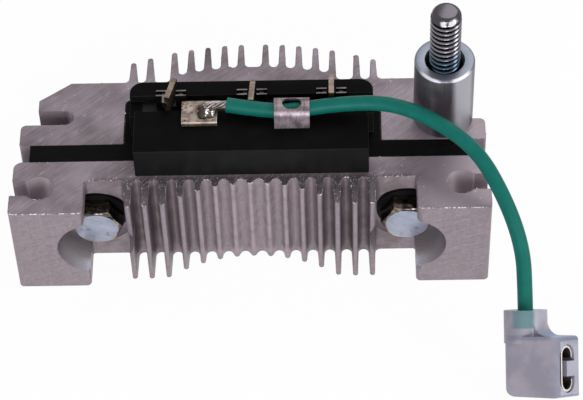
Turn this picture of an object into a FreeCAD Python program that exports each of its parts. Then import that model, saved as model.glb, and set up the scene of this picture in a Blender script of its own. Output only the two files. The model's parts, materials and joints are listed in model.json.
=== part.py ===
import FreeCAD, Part

import math
import os

# Alternator rectifier, in millimetres: two finned aluminium heat sinks bolted back to back
# through an insulating bar, a black diode housing on top of the joint, three phase
# terminals, a sense tab with a soldered lead, and an output stud.
# +Z is up, +X runs along the length, the front fins face -Y and the rear fins face +Y.
# The origin lies on the standing surface, below the middle of the two sinks.

V = FreeCAD.Vector
UP = V(0, 0, 1)
ACROSS = V(1, 0, 0)
BACKWARD = V(0, 1, 0)
SIDES = {"left": -1, "right": 1}
STANDING = FreeCAD.Rotation(BACKWARD, UP, ACROSS, "ZXY")

# Layers from front to back
SINK_HEIGHT = 24.5
FRONT_Y = -22.8
FRONT_BLOCK_DEPTH = 13.85
FRONT_WEB = 5.3
BAR_THICKNESS = 4.35
JOINT_Y = FRONT_Y + FRONT_BLOCK_DEPTH
REAR_Y = JOINT_Y + BAR_THICKNESS

# Axis of the rotor's bearing hub, which both rows of fins are shaped about
HUB_Y = FRONT_Y - 25.2

# Turn of one short straight step round the small arcs of a fin, in degrees
FIN_STEP = 30.0

# Front heat sink
FRONT_HALF_LENGTH = 49.35
FRONT_HEEL_STEP = 0.45
FRONT_BLOCK_LENGTH = 15.17
FRONT_BAY_HALF = FRONT_HALF_LENGTH - FRONT_BLOCK_LENGTH
FRONT_FLOOR_Y = JOINT_Y - FRONT_WEB
FRONT_CORNER_R = 1.0
FRONT_HEEL_R = 1.8
FRONT_BAY_FILLET = 0.5
FRONT_FIN_PITCH = 3.58
FRONT_FIN_BAY_GAP = 9.08
FRONT_TIP_R = 0.55
FRONT_VALLEY_R = 1.07
FRONT_TIP_INSET = 1.56
MIDDLE_FIN_HEIGHT = 1.35

# Mounting holes, open to the ends of the front sink
MOUNT_INSET = 5.95
MOUNT_SETBACK = 6.9
MOUNT_R = 3.035
MOUNT_SLOT_HALF = 1.935
MOUNT_X = FRONT_HALF_LENGTH - MOUNT_INSET
MOUNT_Y = FRONT_Y + MOUNT_SETBACK

# Insulating bar
BAR_HALF_LENGTH = 45.75

# Rear heat sink; it sits a little to the right of the front one
REAR_SHIFT = 0.42
REAR_HALF_LENGTH = 48.5
REAR_ARM_DEPTH = 5.65
REAR_ARM_R = 1.2
REAR_FRONT_R = 0.4
REAR_SLOT_R = 1.9
REAR_SLOT_END = 39.5
REAR_SHOULDER = 45.07
REAR_SHOULDER_Y = REAR_Y + 12.3
REAR_CHAMFER_X = 38.5
REAR_EDGE_Y = REAR_Y + 17.1
REAR_THICK_HALF = 17.4
REAR_THICK_DEPTH = 21.0
REAR_FIN_HEIGHT = 6.4
REAR_TIP_R = 0.58
REAR_VALLEY_R = 1.0
REAR_FIN_PITCH = 3.56
REAR_FINS_PER_BANK = 5
REAR_OUTER_FINS = 2
REAR_BANK_START = 2.6
REAR_OUTER_START = 21.94

# Seat milled in the rear sink for the diode housing
SEAT_HALF = 26.75
SEAT_LENGTH = 12.0
SEAT_DEPTH = 1.8
SEAT_CORNER_R = 1.0
SEAT_PLAY = 0.1

# Clamping bolts with insulating bushes
BOLT_X = 32.3
BOLT_RISE = 0.35
BOLT_Z = SINK_HEIGHT / 2 + BOLT_RISE
BOLT_R = 3.175
BOLT_LENGTH = 18.7
BOLT_HOLE_SPARE = 1.0
BOLT_BAR_PLAY = 0.125
BOLT_BUSH_PLAY = 0.075
HEAD_HEIGHT = 3.95
HEAD_FLATS = 9.53
HEAD_CHAMFER_INSET = 0.39
HEAD_CHAMFER_ANGLE = 30.0
BUSH_WALL = 0.75
BUSH_FLANGE_R = 6.25
BUSH_FLANGE = 0.9
BUSH_BORE_R = BOLT_R + BOLT_BUSH_PLAY
BUSH_R = BUSH_BORE_R + BUSH_WALL
SPOTFACE_R = 7.9
SPOTFACE_DEPTH = 1.65
SPOTFACE_Y = FRONT_FLOOR_Y + SPOTFACE_DEPTH
HEAD_BACK_Y = SPOTFACE_Y - BUSH_FLANGE

# Output stud and its collar
STUD_X = 40.2
STUD_Y = REAR_Y + 6.6
STUD_R = 3.175
STUD_TOP = SINK_HEIGHT + 31.8
STUD_RELIEF_R = 2.8
STUD_CHAMFER = 1.6
STUD_CHAMFER_INSET = 1.275
STUD_HEAD_R = 4.65
STUD_HEAD = 2.4
STUD_HEAD_PLAY = 0.1
COLLAR_WALL = 2.17
COLLAR_PLAY = 0.855
COLLAR_BORE_R = STUD_R + COLLAR_PLAY
COLLAR_R = COLLAR_BORE_R + COLLAR_WALL
COLLAR_HEIGHT = 17.4
COLLAR_CHAMFER = 0.5
THREAD_GAP = 0.3
THREAD_FOOT = SINK_HEIGHT + COLLAR_HEIGHT + THREAD_GAP

# Diode housing, centred on the rear sink; its length follows the row of terminals
TERMINAL_SPACING = 16.15
HOUSING_TOP = SINK_HEIGHT + 7.7
HOUSING_FRONT_Y = JOINT_Y - 4.25
POTTING_END = 6.35
BLOCK_STEP = 1.55
RIM_STEP = 1.15
POTTING_HALF = TERMINAL_SPACING + POTTING_END
BLOCK_HALF = POTTING_HALF + BLOCK_STEP
RIM_HALF = BLOCK_HALF + RIM_STEP
GROOVE_FRONT_Y = REAR_Y + 2.3
GROOVE_WIDTH = 4.15
GROOVE_DEPTH = 1.6
RIM_DEPTH = 3.85
RIM_CORNER_R = 2.8
HOUSING_WALL = 1.4
HOUSING_EDGE_R = 0.35
POTTING_DEPTH = 1.4
GROOVE_BACK_Y = GROOVE_FRONT_Y + GROOVE_WIDTH
GROOVE_FLOOR = HOUSING_TOP - GROOVE_DEPTH
RIM_BACK_Y = GROOVE_BACK_Y + RIM_DEPTH
POTTING_Z = GROOVE_FLOOR - POTTING_DEPTH

# Phase terminals: a blade on edge between two crimps
TERMINAL_MIDDLE_X = 0.85
BLADE_THICKNESS = 1.1
BLADE_REACH = 2.7
RIM_GAP = 1.0
CRIMP_SETBACK = 3.1
CRIMP_DEPTH = 1.6
CRIMP_INNER = 0.95
CRIMP_OUTER = 3.1
CRIMP_WALL = 0.35
CRIMP_HEIGHT = 3.7
STRIP_THICKNESS = 0.4
LEAF_THICKNESS = 0.45
LEAF_HEIGHT = 1.6
CRIMP_Y = GROOVE_FRONT_Y + CRIMP_SETBACK
CRIMP_FRONT_Y = CRIMP_Y - CRIMP_DEPTH / 2
CRIMP_BACK_Y = CRIMP_Y + CRIMP_DEPTH / 2
CRIMP_TOP = GROOVE_FLOOR + CRIMP_HEIGHT

# Diodes under the housing
CELL_WIDTH = 5.0
CELL_HEIGHT = 1.8
CELL_DEPTH = 5.0
FRONT_CELL_DEPTH = 2.6
LEAD_HALF = 0.4
FINE_LEAD_HALF = 0.25
EXCITER_LEAD = 0.8
LEAD_TOP = CRIMP_TOP - 0.9
NEGATIVE_LEAD_X = -1.45
NEGATIVE_LEAD_Z = SINK_HEIGHT + 3.75
POSITIVE_LEAD_X = 2.0
EXCITER_BODY_X = -3.9
EXCITER_LEAD_X = -2.45
EXCITER_HALF = 1.0
EXCITER_LENGTH = 3.0
EXCITER_Z = SINK_HEIGHT + 2.4

# Sense tab and its collecting bar
TAB_LEFT = -13.8
TAB_WIDTH = 7.3
TAB_LENGTH = 6.41
TAB_HEIGHT = 1.3
TAB_THICKNESS = 0.8
TAB_BEND_R = 0.35
TAB_CRIMP_GAP = 0.15
LEG_INSET = 1.2
COLLECTOR_SETBACK = 1.6
COLLECTOR_DEPTH = 1.6
COLLECTOR_THICKNESS = 0.6
COLLECTOR_SPARE = 0.9
TAB_RIGHT = TAB_LEFT + TAB_WIDTH
TAB_BACK_Y = CRIMP_FRONT_Y - TAB_CRIMP_GAP
TAB_FRONT_Y = TAB_BACK_Y - TAB_LENGTH
TAB_TOP = HOUSING_TOP + TAB_HEIGHT
COLLECTOR_BACK_Y = GROOVE_FRONT_Y - HOUSING_WALL - COLLECTOR_SETBACK - EXCITER_LEAD
COLLECTOR_Z = EXCITER_Z - COLLECTOR_THICKNESS / 2

# Solder joint and the bared strands in it
SOLDER_X = -8.5
SOLDER_Y = TAB_FRONT_Y + 2.96
SOLDER_R = 2.15
SOLDER_HEIGHT = 1.3
STRANDS_R = 0.85
STRANDS_STRAIGHT = 0.8
STRANDS_BEND_R = 1.6
STRANDS_RISE = 2.2
STRANDS_END = V(-8.9, -2.95, HOUSING_TOP + STRANDS_RISE)

# Clip that holds the lead down on the housing
CLIP_LEFT = 5.25
CLIP_WIDTH = 7.25
CLIP_THICKNESS = 0.5
CLIP_HEIGHT = 4.25
CLIP_SPAN = 6.0
CLIP_REAR_INSET = 0.8
CLIP_REAR_R = 2.55
CLIP_FRONT_R = 2.0
CLIP_LEG_LEAN = 13.1
CLIP_TAIL = 1.0
CLIP_SLOT_HALF = 1.95
CLIP_SLOT_R = 1.5
CLIP_SLOT_SETBACK = 2.75
CLIP_TOP = HOUSING_TOP + CLIP_HEIGHT
CLIP_REAR_Y = GROOVE_FRONT_Y + CLIP_REAR_INSET
CLIP_FOOT_Y = CLIP_REAR_Y - CLIP_SPAN

# Lead, from the solder joint over the housing and down to its receptacle
LEAD_DIAMETER = 3.13
LEAD_BEND = 0.45
RECEPTACLE_PITCH = 38.6
RECEPTACLE_ROLL = -40.0
RECEPTACLE_ENTRY = V(55.4, -41.0, 14.0)
LEAD_INSERTION = 3.7
LEAD_LAST_RUN = 7.4
LEAD_POINTS = [
    V(-4.5, -2.8, HOUSING_TOP + STRANDS_RISE),
    V(5.4, -5.0, HOUSING_TOP + 1.75),
    V(11.0, -4.35, HOUSING_TOP + 1.85),
    V(19.2, -3.5, HOUSING_TOP + 2.8),
    V(28.3, -4.0, HOUSING_TOP + 3.6),
    V(36.7, -7.8, HOUSING_TOP + 3.4),
    V(46.2, -14.7, HOUSING_TOP + 1.4),
    V(52.0, -24.4, 28.2),
    V(55.1, -31.6, 21.8),
]

# Flag receptacle at the end of the lead, laid out along the lead's own axis
CONDUCTOR_R = 0.85
BARREL_R = 1.9
BARREL_START = -5.2
BARREL_LENGTH = 6.3
CONDUCTOR_SPARE = 0.4
TONGUE_X = 3.0
TONGUE_LENGTH = 7.6
TONGUE_Z = 2.6
TONGUE_THICKNESS = 0.4
TONGUE_NEAR = -6.8
TONGUE_WIDTH = 9.17
CURL_R = 1.9
CURL_SWEEP = 200.0
NECK_HALF = 1.4
NECK_SLOPE = 0.7
TONGUE_FAR = TONGUE_NEAR - TONGUE_WIDTH
BARREL_END = BARREL_START - BARREL_LENGTH

# Insulating sleeve of the receptacle
ENTRY_R = 4.4
ENTRY_LENGTH = 6.6
SHELL_LEFT = -3.3
SHELL_RIGHT = 11.0
SHELL_HALF = 4.0
SHELL_CORNER_R = 2.2
SHELL_BOTTOM = -17.2
SHELL_SHOULDER = -5.1
SHELL_SHOULDER_R = 2.0
SHELL_HEEL_R = 3.4
SHELL_TOE_R = 1.6
WEB_X = 3.6
WEB_SWEEP_R = 3.2
WEB_HALF = 2.4
LEAD_PLAY = 0.185
BARREL_PLAY = 0.05
BARREL_SPARE = 1.5
POCKET_PLAY = 0.2
POCKET_BACK_X = 2.4
RIB_HALF = 1.5
RIB_GAP = 1.0


def box(x0, x1, y0, y1, z0, z1):
    """Block between two values on each axis."""
    return Part.makeBox(x1 - x0, y1 - y0, z1 - z0, V(x0, y0, z0))


def rod(radius, start, axis, length):
    """Round rod from a start point along an axis."""
    return Part.makeCylinder(radius, length, start, axis)


def polar(centre, radius, degrees):
    """Point at an angle on a circle in the drawing plane."""
    angle = math.radians(degrees)
    return centre + V(radius * math.cos(angle), radius * math.sin(angle), 0)


class Outline:
    """Closed outline of straight and round stretches, drawn in the XY plane."""

    def __init__(self, start):
        self.start = start
        self.at = start
        self.edges = []

    def line(self, point):
        if point.distanceToPoint(self.at) > 1e-6:
            self.edges.append(Part.LineSegment(self.at, point).toShape())
            self.at = point

    def arc(self, centre, radius, begin, end):
        """Run straight to the arc's first point, then round it; end below begin is clockwise."""
        self.line(polar(centre, radius, begin))
        finish = polar(centre, radius, end)
        middle = polar(centre, radius, (begin + end) / 2)
        self.edges.append(Part.Arc(self.at, middle, finish).toShape())
        self.at = finish

    def steps(self, centre, radius, begin, end):
        """Round a small arc in short straight steps."""
        count = max(1, round(abs(end - begin) / FIN_STEP))
        for index in range(count + 1):
            self.line(polar(centre, radius, begin + (end - begin) * index / count))

    def face(self):
        self.line(self.start)
        return Part.Face(Part.Wire(self.edges))

    def prism(self, height, base=0.0):
        face = self.face()
        face.translate(V(0, 0, base))
        return face.extrude(V(0, 0, height))


def swept_rod(points, radius, bend_radius):
    """Round bar along straight runs that join in tangent arcs.

    bend_radius is one value for every corner, or None for bends as wide as the runs allow.
    Returns the solid, its length and its bend radii.
    """
    edges = []
    radii = []
    at = points[0]
    for before, corner, after in zip(points, points[1:], points[2:]):
        incoming = (corner - before).normalize()
        outgoing = (after - corner).normalize()
        half_turn = incoming.getAngle(outgoing) / 2
        shorter = min((corner - before).Length, (after - corner).Length)
        setback = LEAD_BEND * shorter
        if bend_radius is not None:
            setback = bend_radius * math.tan(half_turn)
        bend = setback / math.tan(half_turn)
        start = corner - incoming * setback
        finish = corner + outgoing * setback
        inward = (outgoing - incoming).normalize()
        middle = corner + inward * (bend / math.cos(half_turn) - bend)
        edges.append(Part.LineSegment(at, start).toShape())
        edges.append(Part.Arc(start, middle, finish).toShape())
        radii.append(bend)
        at = finish
    edges.append(Part.LineSegment(at, points[-1]).toShape())
    spine = Part.Wire(edges)
    heading = points[1] - points[0]
    section = Part.Wire(Part.Circle(points[0], heading, radius).toShape())
    return spine.makePipeShell([section], True, False), spine.Length, radii


def flank_angle(tip, valley, reach, hand):
    """Direction from a fin's tip circle to the straight flank that also meets its valley circle."""
    offset = valley - tip
    heading = math.degrees(math.atan2(offset.y, offset.x))
    return heading + hand * math.degrees(math.acos(reach / offset.Length))


def add_fins(outline, fins, tip_r, valley_r, floor_angle):
    """Draw a row of fins: rounded tips, straight flanks and rounded valleys.

    Each fin is its tip circle's centre with the valley circles before and after it.
    floor_angle points from a valley circle's centre to the valley's floor.
    """
    reach = tip_r + valley_r
    previous = None
    for before, tip, after in fins:
        rising = flank_angle(tip, before, reach, 1)
        falling = flank_angle(tip, after, reach, -1)
        start = floor_angle
        if previous is not None and previous[0].distanceToPoint(before) < 1e-6:
            start = previous[1]
        elif previous is not None:
            outline.steps(previous[0], valley_r, previous[1], floor_angle)
        outline.steps(before, valley_r, start, descending(start, rising + 180))
        outline.steps(tip, tip_r, rising, ascending(rising, falling))
        previous = (after, ascending(floor_angle, falling + 180))
    outline.steps(previous[0], valley_r, previous[1], floor_angle)


def ascending(begin, end):
    """The end angle, moved by whole turns to lie within one turn above begin."""
    return begin + (end - begin) % 360


def descending(begin, end):
    """The end angle, moved by whole turns to lie within one turn below begin."""
    return begin - (begin - end) % 360


def front_fins():
    """Front fins: their tips follow a shallow arc that clears the rotor's bearing hub."""
    arc_r = FRONT_FLOOR_Y - MIDDLE_FIN_HEIGHT - HUB_Y
    valley_y = FRONT_FLOOR_Y - FRONT_VALLEY_R
    each_side = int((FRONT_BAY_HALF - FRONT_FIN_BAY_GAP) / FRONT_FIN_PITCH)
    fins = []
    for index in range(-each_side, each_side + 1):
        x = index * FRONT_FIN_PITCH
        arc_y = HUB_Y + math.sqrt(arc_r**2 - x**2)
        tip = V(x, max(FRONT_Y + FRONT_TIP_INSET, arc_y) + FRONT_TIP_R, 0)
        before = V(x - FRONT_FIN_PITCH / 2, valley_y, 0)
        after = V(x + FRONT_FIN_PITCH / 2, valley_y, 0)
        fins.append((before, tip, after))
    return fins


def bolt_drill(radius, start_y, length, side):
    """Cylinder along a clamping bolt's axis."""
    return rod(radius, V(side * BOLT_X, start_y, BOLT_Z), BACKWARD, length)


def front_heat_sink():
    """Extruded front sink: two solid end blocks with C-shaped mounting holes and a finned web."""
    heel = FRONT_HALF_LENGTH - FRONT_HEEL_STEP
    mouth = math.degrees(math.asin(MOUNT_SLOT_HALF / MOUNT_R))
    outer = FRONT_HALF_LENGTH - FRONT_CORNER_R
    inner = FRONT_BAY_HALF + FRONT_CORNER_R
    corner_y = FRONT_Y + FRONT_CORNER_R
    fillet_x = FRONT_BAY_HALF - FRONT_BAY_FILLET
    fillet_y = FRONT_FLOOR_Y - FRONT_BAY_FILLET
    heel_x = heel - FRONT_HEEL_R
    heel_y = JOINT_Y - FRONT_HEEL_R

    plan = Outline(V(-heel, MOUNT_Y + MOUNT_SLOT_HALF, 0))
    plan.arc(V(-MOUNT_X, MOUNT_Y, 0), MOUNT_R, 180 - mouth, mouth - 180)
    plan.line(V(-FRONT_HALF_LENGTH, MOUNT_Y - MOUNT_SLOT_HALF, 0))
    plan.arc(V(-outer, corner_y, 0), FRONT_CORNER_R, 180, 270)
    plan.arc(V(-inner, corner_y, 0), FRONT_CORNER_R, 270, 360)
    plan.arc(V(-fillet_x, fillet_y, 0), FRONT_BAY_FILLET, 180, 90)
    add_fins(plan, front_fins(), FRONT_TIP_R, FRONT_VALLEY_R, 90)
    plan.arc(V(fillet_x, fillet_y, 0), FRONT_BAY_FILLET, 90, 0)
    plan.arc(V(inner, corner_y, 0), FRONT_CORNER_R, 180, 270)
    plan.arc(V(outer, corner_y, 0), FRONT_CORNER_R, 270, 360)
    plan.line(V(FRONT_HALF_LENGTH, MOUNT_Y - MOUNT_SLOT_HALF, 0))
    plan.arc(V(MOUNT_X, MOUNT_Y, 0), MOUNT_R, -mouth, mouth - 360)
    plan.line(V(heel, MOUNT_Y + MOUNT_SLOT_HALF, 0))
    plan.arc(V(heel_x, heel_y, 0), FRONT_HEEL_R, 0, 90)
    plan.arc(V(-heel_x, heel_y, 0), FRONT_HEEL_R, 90, 180)
    sink = plan.prism(SINK_HEIGHT)

    for side in SIDES.values():
        sink = sink.cut(bolt_drill(SPOTFACE_R, FRONT_Y, SPOTFACE_Y - FRONT_Y, side))
        sink = sink.cut(bolt_drill(BUSH_R, FRONT_Y, FRONT_BLOCK_DEPTH, side))
    return sink


def insulator_bar():
    """Flat bar that keeps the two sinks apart."""
    bar = box(-BAR_HALF_LENGTH, BAR_HALF_LENGTH, JOINT_Y, REAR_Y, 0, SINK_HEIGHT)
    for side in SIDES.values():
        bar = bar.cut(bolt_drill(BOLT_R + BOLT_BAR_PLAY, JOINT_Y, BAR_THICKNESS, side))
    return bar


def rear_fin_places():
    """Fin centres from right to left, with a wide gap in the middle and before the outer pair."""
    bank = [REAR_BANK_START + i * REAR_FIN_PITCH for i in range(REAR_FINS_PER_BANK)]
    outer = [REAR_OUTER_START + i * REAR_FIN_PITCH for i in range(REAR_OUTER_FINS)]
    right = bank + outer
    return sorted(right, reverse=True) + [-x for x in right]


def rear_fins():
    """Rear fins: tips and roots follow two arcs about the hub; the outer ones stand lower."""
    root_r = REAR_Y + REAR_THICK_DEPTH - HUB_Y
    tip_r = root_r + REAR_FIN_HEIGHT
    fins = []
    for x in rear_fin_places():
        tip = V(x, HUB_Y + math.sqrt(tip_r**2 - x**2) - REAR_TIP_R, 0)
        feet = []
        for foot_x in (x + REAR_FIN_PITCH / 2, x - REAR_FIN_PITCH / 2):
            floor = REAR_EDGE_Y
            if abs(foot_x) < REAR_THICK_HALF:
                floor = HUB_Y + math.sqrt(root_r**2 - foot_x**2)
            feet.append(V(foot_x, floor + REAR_VALLEY_R, 0))
        fins.append((feet[0], tip, feet[1]))
    return fins


def seat_block(play):
    """The milled seat, or with some play the housing's flange that lies in it."""
    half = SEAT_HALF - play
    corner_r = SEAT_CORNER_R - play
    back = REAR_Y + SEAT_LENGTH - SEAT_CORNER_R
    plan = Outline(V(REAR_SHIFT - half, REAR_Y, 0))
    plan.line(V(REAR_SHIFT + half, REAR_Y, 0))
    plan.arc(V(REAR_SHIFT + half - corner_r, back, 0), corner_r, 0, 90)
    plan.arc(V(REAR_SHIFT - half + corner_r, back, 0), corner_r, 90, 180)
    return plan.prism(SEAT_DEPTH, SINK_HEIGHT - SEAT_DEPTH)


def rear_heat_sink():
    """Extruded rear sink: slotted arms at the ends, finned body, milled seat for the housing."""
    arm_y = REAR_Y + REAR_ARM_DEPTH
    slot_y = arm_y + REAR_SLOT_R
    arm_x = REAR_HALF_LENGTH - REAR_ARM_R
    front_x = REAR_HALF_LENGTH - REAR_FRONT_R
    front_y = REAR_Y + REAR_FRONT_R

    plan = Outline(V(0, REAR_Y, 0))
    plan.arc(V(front_x, front_y, 0), REAR_FRONT_R, 270, 360)
    plan.arc(V(arm_x, arm_y - REAR_ARM_R, 0), REAR_ARM_R, 0, 90)
    plan.arc(V(REAR_SLOT_END, slot_y, 0), REAR_SLOT_R, 270, 90)
    plan.line(V(REAR_SHOULDER, slot_y + REAR_SLOT_R, 0))
    plan.line(V(REAR_SHOULDER, REAR_SHOULDER_Y, 0))
    plan.line(V(REAR_CHAMFER_X, REAR_EDGE_Y, 0))
    add_fins(plan, rear_fins(), REAR_TIP_R, REAR_VALLEY_R, 270)
    plan.line(V(-REAR_CHAMFER_X, REAR_EDGE_Y, 0))
    plan.line(V(-REAR_SHOULDER, REAR_SHOULDER_Y, 0))
    plan.line(V(-REAR_SHOULDER, slot_y + REAR_SLOT_R, 0))
    plan.arc(V(-REAR_SLOT_END, slot_y, 0), REAR_SLOT_R, 90, -90)
    plan.arc(V(-arm_x, arm_y - REAR_ARM_R, 0), REAR_ARM_R, 90, 180)
    plan.arc(V(-front_x, front_y, 0), REAR_FRONT_R, 180, 270)
    sink = plan.prism(SINK_HEIGHT)

    sink.translate(V(REAR_SHIFT, 0, 0))
    sink = sink.cut(seat_block(0.0))

    reach = HEAD_BACK_Y + BOLT_LENGTH + BOLT_HOLE_SPARE - REAR_Y
    for side in SIDES.values():
        sink = sink.cut(bolt_drill(BOLT_R, REAR_Y, reach, side))
    sink = sink.cut(rod(STUD_R, V(STUD_X, STUD_Y, 0), UP, SINK_HEIGHT))
    sink = sink.cut(rod(STUD_HEAD_R + STUD_HEAD_PLAY, V(STUD_X, STUD_Y, 0), UP, STUD_HEAD))
    return sink


def clamp_bolt(side):
    """Hexagon bolt: chamfered head at the front, shank through both sinks."""
    corner_r = HEAD_FLATS / math.sqrt(3)
    hexagon = [polar(V(0, 0, 0), corner_r, 60 * i) for i in range(7)]
    head = Part.Face(Part.makePolygon(hexagon)).extrude(V(0, 0, HEAD_HEIGHT))
    chamfer_r = HEAD_FLATS / 2 - HEAD_CHAMFER_INSET
    slope = (corner_r - chamfer_r) * math.tan(math.radians(HEAD_CHAMFER_ANGLE))
    cap_low = rod(corner_r, V(0, 0, 0), UP, HEAD_HEIGHT - slope)
    cap = Part.makeCone(corner_r, chamfer_r, slope, V(0, 0, HEAD_HEIGHT - slope))
    head = head.common(cap_low.fuse(cap)).removeSplitter()
    head.rotate(V(0, 0, 0), ACROSS, 90)
    head.translate(V(side * BOLT_X, HEAD_BACK_Y, BOLT_Z))
    shank = bolt_drill(BOLT_R, HEAD_BACK_Y, BOLT_LENGTH, side)
    return head.fuse(shank)


def bolt_bush(side):
    """Flanged bush that keeps the bolt clear of the front sink."""
    flange = bolt_drill(BUSH_FLANGE_R, HEAD_BACK_Y, BUSH_FLANGE, side)
    tube = bolt_drill(BUSH_R, SPOTFACE_Y, JOINT_Y - SPOTFACE_Y, side)
    bore = bolt_drill(BUSH_BORE_R, HEAD_BACK_Y, JOINT_Y - HEAD_BACK_Y, side)
    return flange.fuse(tube).cut(bore)


def output_stud():
    """Headed stud pressed up through the rear sink, relieved in the collar, chamfered on top."""
    foot = V(STUD_X, STUD_Y, 0)
    shank = rod(STUD_R, foot, UP, SINK_HEIGHT)
    relief = rod(STUD_RELIEF_R, foot, UP, THREAD_FOOT)
    thread = rod(STUD_R, V(STUD_X, STUD_Y, THREAD_FOOT), UP, STUD_TOP - STUD_CHAMFER - THREAD_FOOT)
    tip_base = V(STUD_X, STUD_Y, STUD_TOP - STUD_CHAMFER)
    tip = Part.makeCone(STUD_R, STUD_R - STUD_CHAMFER_INSET, STUD_CHAMFER, tip_base)
    head = rod(STUD_HEAD_R, foot, UP, STUD_HEAD)
    return shank.fuse(relief).fuse(thread).fuse(tip).fuse(head).removeSplitter()


def stud_sleeve():
    """Loose collar round the stud, standing on the rear sink."""
    base = V(STUD_X, STUD_Y, SINK_HEIGHT)
    shoulder = COLLAR_HEIGHT - COLLAR_CHAMFER
    straight = rod(COLLAR_R, base, UP, shoulder)
    rim = Part.makeCone(COLLAR_R, COLLAR_R - COLLAR_CHAMFER, COLLAR_CHAMFER, base + UP * shoulder)
    return straight.fuse(rim).cut(rod(COLLAR_BORE_R, base, UP, COLLAR_HEIGHT))


def diode_housing():
    """Moulded housing: a front block, an open groove and a rim, hollow underneath."""
    left = REAR_SHIFT - BLOCK_HALF
    right = REAR_SHIFT + BLOCK_HALF
    front = box(left, right, HOUSING_FRONT_Y, GROOVE_FRONT_Y, SINK_HEIGHT, HOUSING_TOP)
    front = front.makeFillet(HOUSING_EDGE_R, [e for e in front.Edges if is_block_edge(e)])

    rim_left = REAR_SHIFT - RIM_HALF
    rim_right = REAR_SHIFT + RIM_HALF
    corner_y = RIM_BACK_Y - RIM_CORNER_R
    plan = Outline(V(rim_left, GROOVE_FRONT_Y, 0))
    plan.line(V(rim_right, GROOVE_FRONT_Y, 0))
    plan.arc(V(rim_right - RIM_CORNER_R, corner_y, 0), RIM_CORNER_R, 0, 90)
    plan.arc(V(rim_left + RIM_CORNER_R, corner_y, 0), RIM_CORNER_R, 90, 180)
    rear = plan.prism(HOUSING_TOP - SINK_HEIGHT, SINK_HEIGHT)
    rear = rear.cut(box(rim_left, rim_right, GROOVE_FRONT_Y, GROOVE_BACK_Y, GROOVE_FLOOR, HOUSING_TOP))
    body = front.fuse(rear).fuse(seat_block(SEAT_PLAY))

    inner_left = left + HOUSING_WALL
    inner_right = right - HOUSING_WALL
    inner_front = HOUSING_FRONT_Y + HOUSING_WALL
    inner_back = RIM_BACK_Y - HOUSING_WALL
    chamber = box(inner_left, inner_right, inner_front, inner_back, SINK_HEIGHT - SEAT_DEPTH, POTTING_Z)
    attic = box(inner_left, inner_right, inner_front, GROOVE_FRONT_Y - HOUSING_WALL, POTTING_Z,
                HOUSING_TOP - HOUSING_WALL)
    return body.cut(chamber).cut(attic).cut(potting_block()).removeSplitter()


def is_block_edge(edge):
    """Edges of the front block that carry a moulded round: its top front and its two uprights."""
    box_of_edge = edge.BoundBox
    on_front = box_of_edge.YMax < HOUSING_FRONT_Y + 1e-6
    upright = box_of_edge.ZLength > 1
    top = box_of_edge.ZMin > HOUSING_TOP - 1e-6
    return on_front and (upright or top)


def potting_block():
    """Space that the potting fills, under the floor of the groove."""
    return box(REAR_SHIFT - POTTING_HALF, REAR_SHIFT + POTTING_HALF, GROOVE_FRONT_Y, GROOVE_BACK_Y,
               POTTING_Z, GROOVE_FLOOR)


def potting(passing):
    """Resin in the groove, cast round everything that comes up through it."""
    block = potting_block()
    for piece in passing:
        block = block.cut(piece)
    return block


class Terminal:
    """One phase terminal: its place in the row and how far its blade stands up and is bent."""

    def __init__(self, place, rise, turn, nose, leaf):
        self.top = GROOVE_FLOOR + rise
        self.turn = turn
        self.nose_y = GROOVE_FRONT_Y + nose
        self.leaf = leaf
        rear_x = TERMINAL_MIDDLE_X + place * TERMINAL_SPACING
        self.x = rear_x - BLADE_REACH * math.tan(math.radians(turn))


TERMINALS = {
    "left": Terminal(place=-1, rise=5.4, turn=15.7, nose=0.3, leaf=True),
    "middle": Terminal(place=0, rise=4.4, turn=4.5, nose=0.3, leaf=False),
    "right": Terminal(place=1, rise=5.7, turn=0.0, nose=0.6, leaf=False),
}


def crimp(terminal, side):
    """Two upright walls that grip the diode leads beside the blade."""
    near = terminal.x + side * CRIMP_INNER
    far = terminal.x + side * CRIMP_OUTER
    left = min(near, far)
    right = max(near, far)
    front = box(left, right, CRIMP_FRONT_Y, CRIMP_FRONT_Y + CRIMP_WALL, GROOVE_FLOOR, CRIMP_TOP)
    back = box(left, right, CRIMP_BACK_Y - CRIMP_WALL, CRIMP_BACK_Y, GROOVE_FLOOR, CRIMP_TOP)
    return front.fuse(back)


def blade(terminal):
    """Blade on edge, stepped up to clear the rim and bent a little to one side."""
    foot = GROOVE_FLOOR
    rim_clear = HOUSING_TOP + RIM_GAP
    end_y = CRIMP_Y + BLADE_REACH
    side_view = Outline(V(terminal.nose_y, foot, 0))
    side_view.line(V(CRIMP_BACK_Y, foot, 0))
    side_view.line(V(CRIMP_BACK_Y, rim_clear, 0))
    side_view.line(V(end_y, rim_clear, 0))
    side_view.line(V(end_y, terminal.top, 0))
    side_view.line(V(terminal.nose_y, terminal.top, 0))
    shape = side_view.prism(BLADE_THICKNESS, -BLADE_THICKNESS / 2)
    shape.Placement = FreeCAD.Placement(V(terminal.x, 0, 0), STANDING)
    shape.rotate(V(terminal.x, CRIMP_Y, 0), UP, -terminal.turn)
    return shape


def ac_terminal(terminal):
    """Phase terminal folded from strip: a blade with a two-walled crimp on each side."""
    strip = box(terminal.x - CRIMP_OUTER, terminal.x + CRIMP_OUTER, CRIMP_FRONT_Y, CRIMP_BACK_Y,
                GROOVE_FLOOR, GROOVE_FLOOR + STRIP_THICKNESS)
    body = strip.fuse(blade(terminal)).fuse(crimp(terminal, -1)).fuse(crimp(terminal, 1))
    if terminal.leaf:
        body = body.fuse(folded_leaf(terminal))
    body = body.cut(negative_lead(terminal.x + NEGATIVE_LEAD_X))
    body = body.cut(positive_lead(terminal.x + POSITIVE_LEAD_X))
    body = body.cut(exciter_lead(terminal.x + EXCITER_BODY_X, terminal.x + EXCITER_LEAD_X))
    return body.removeSplitter()


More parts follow.
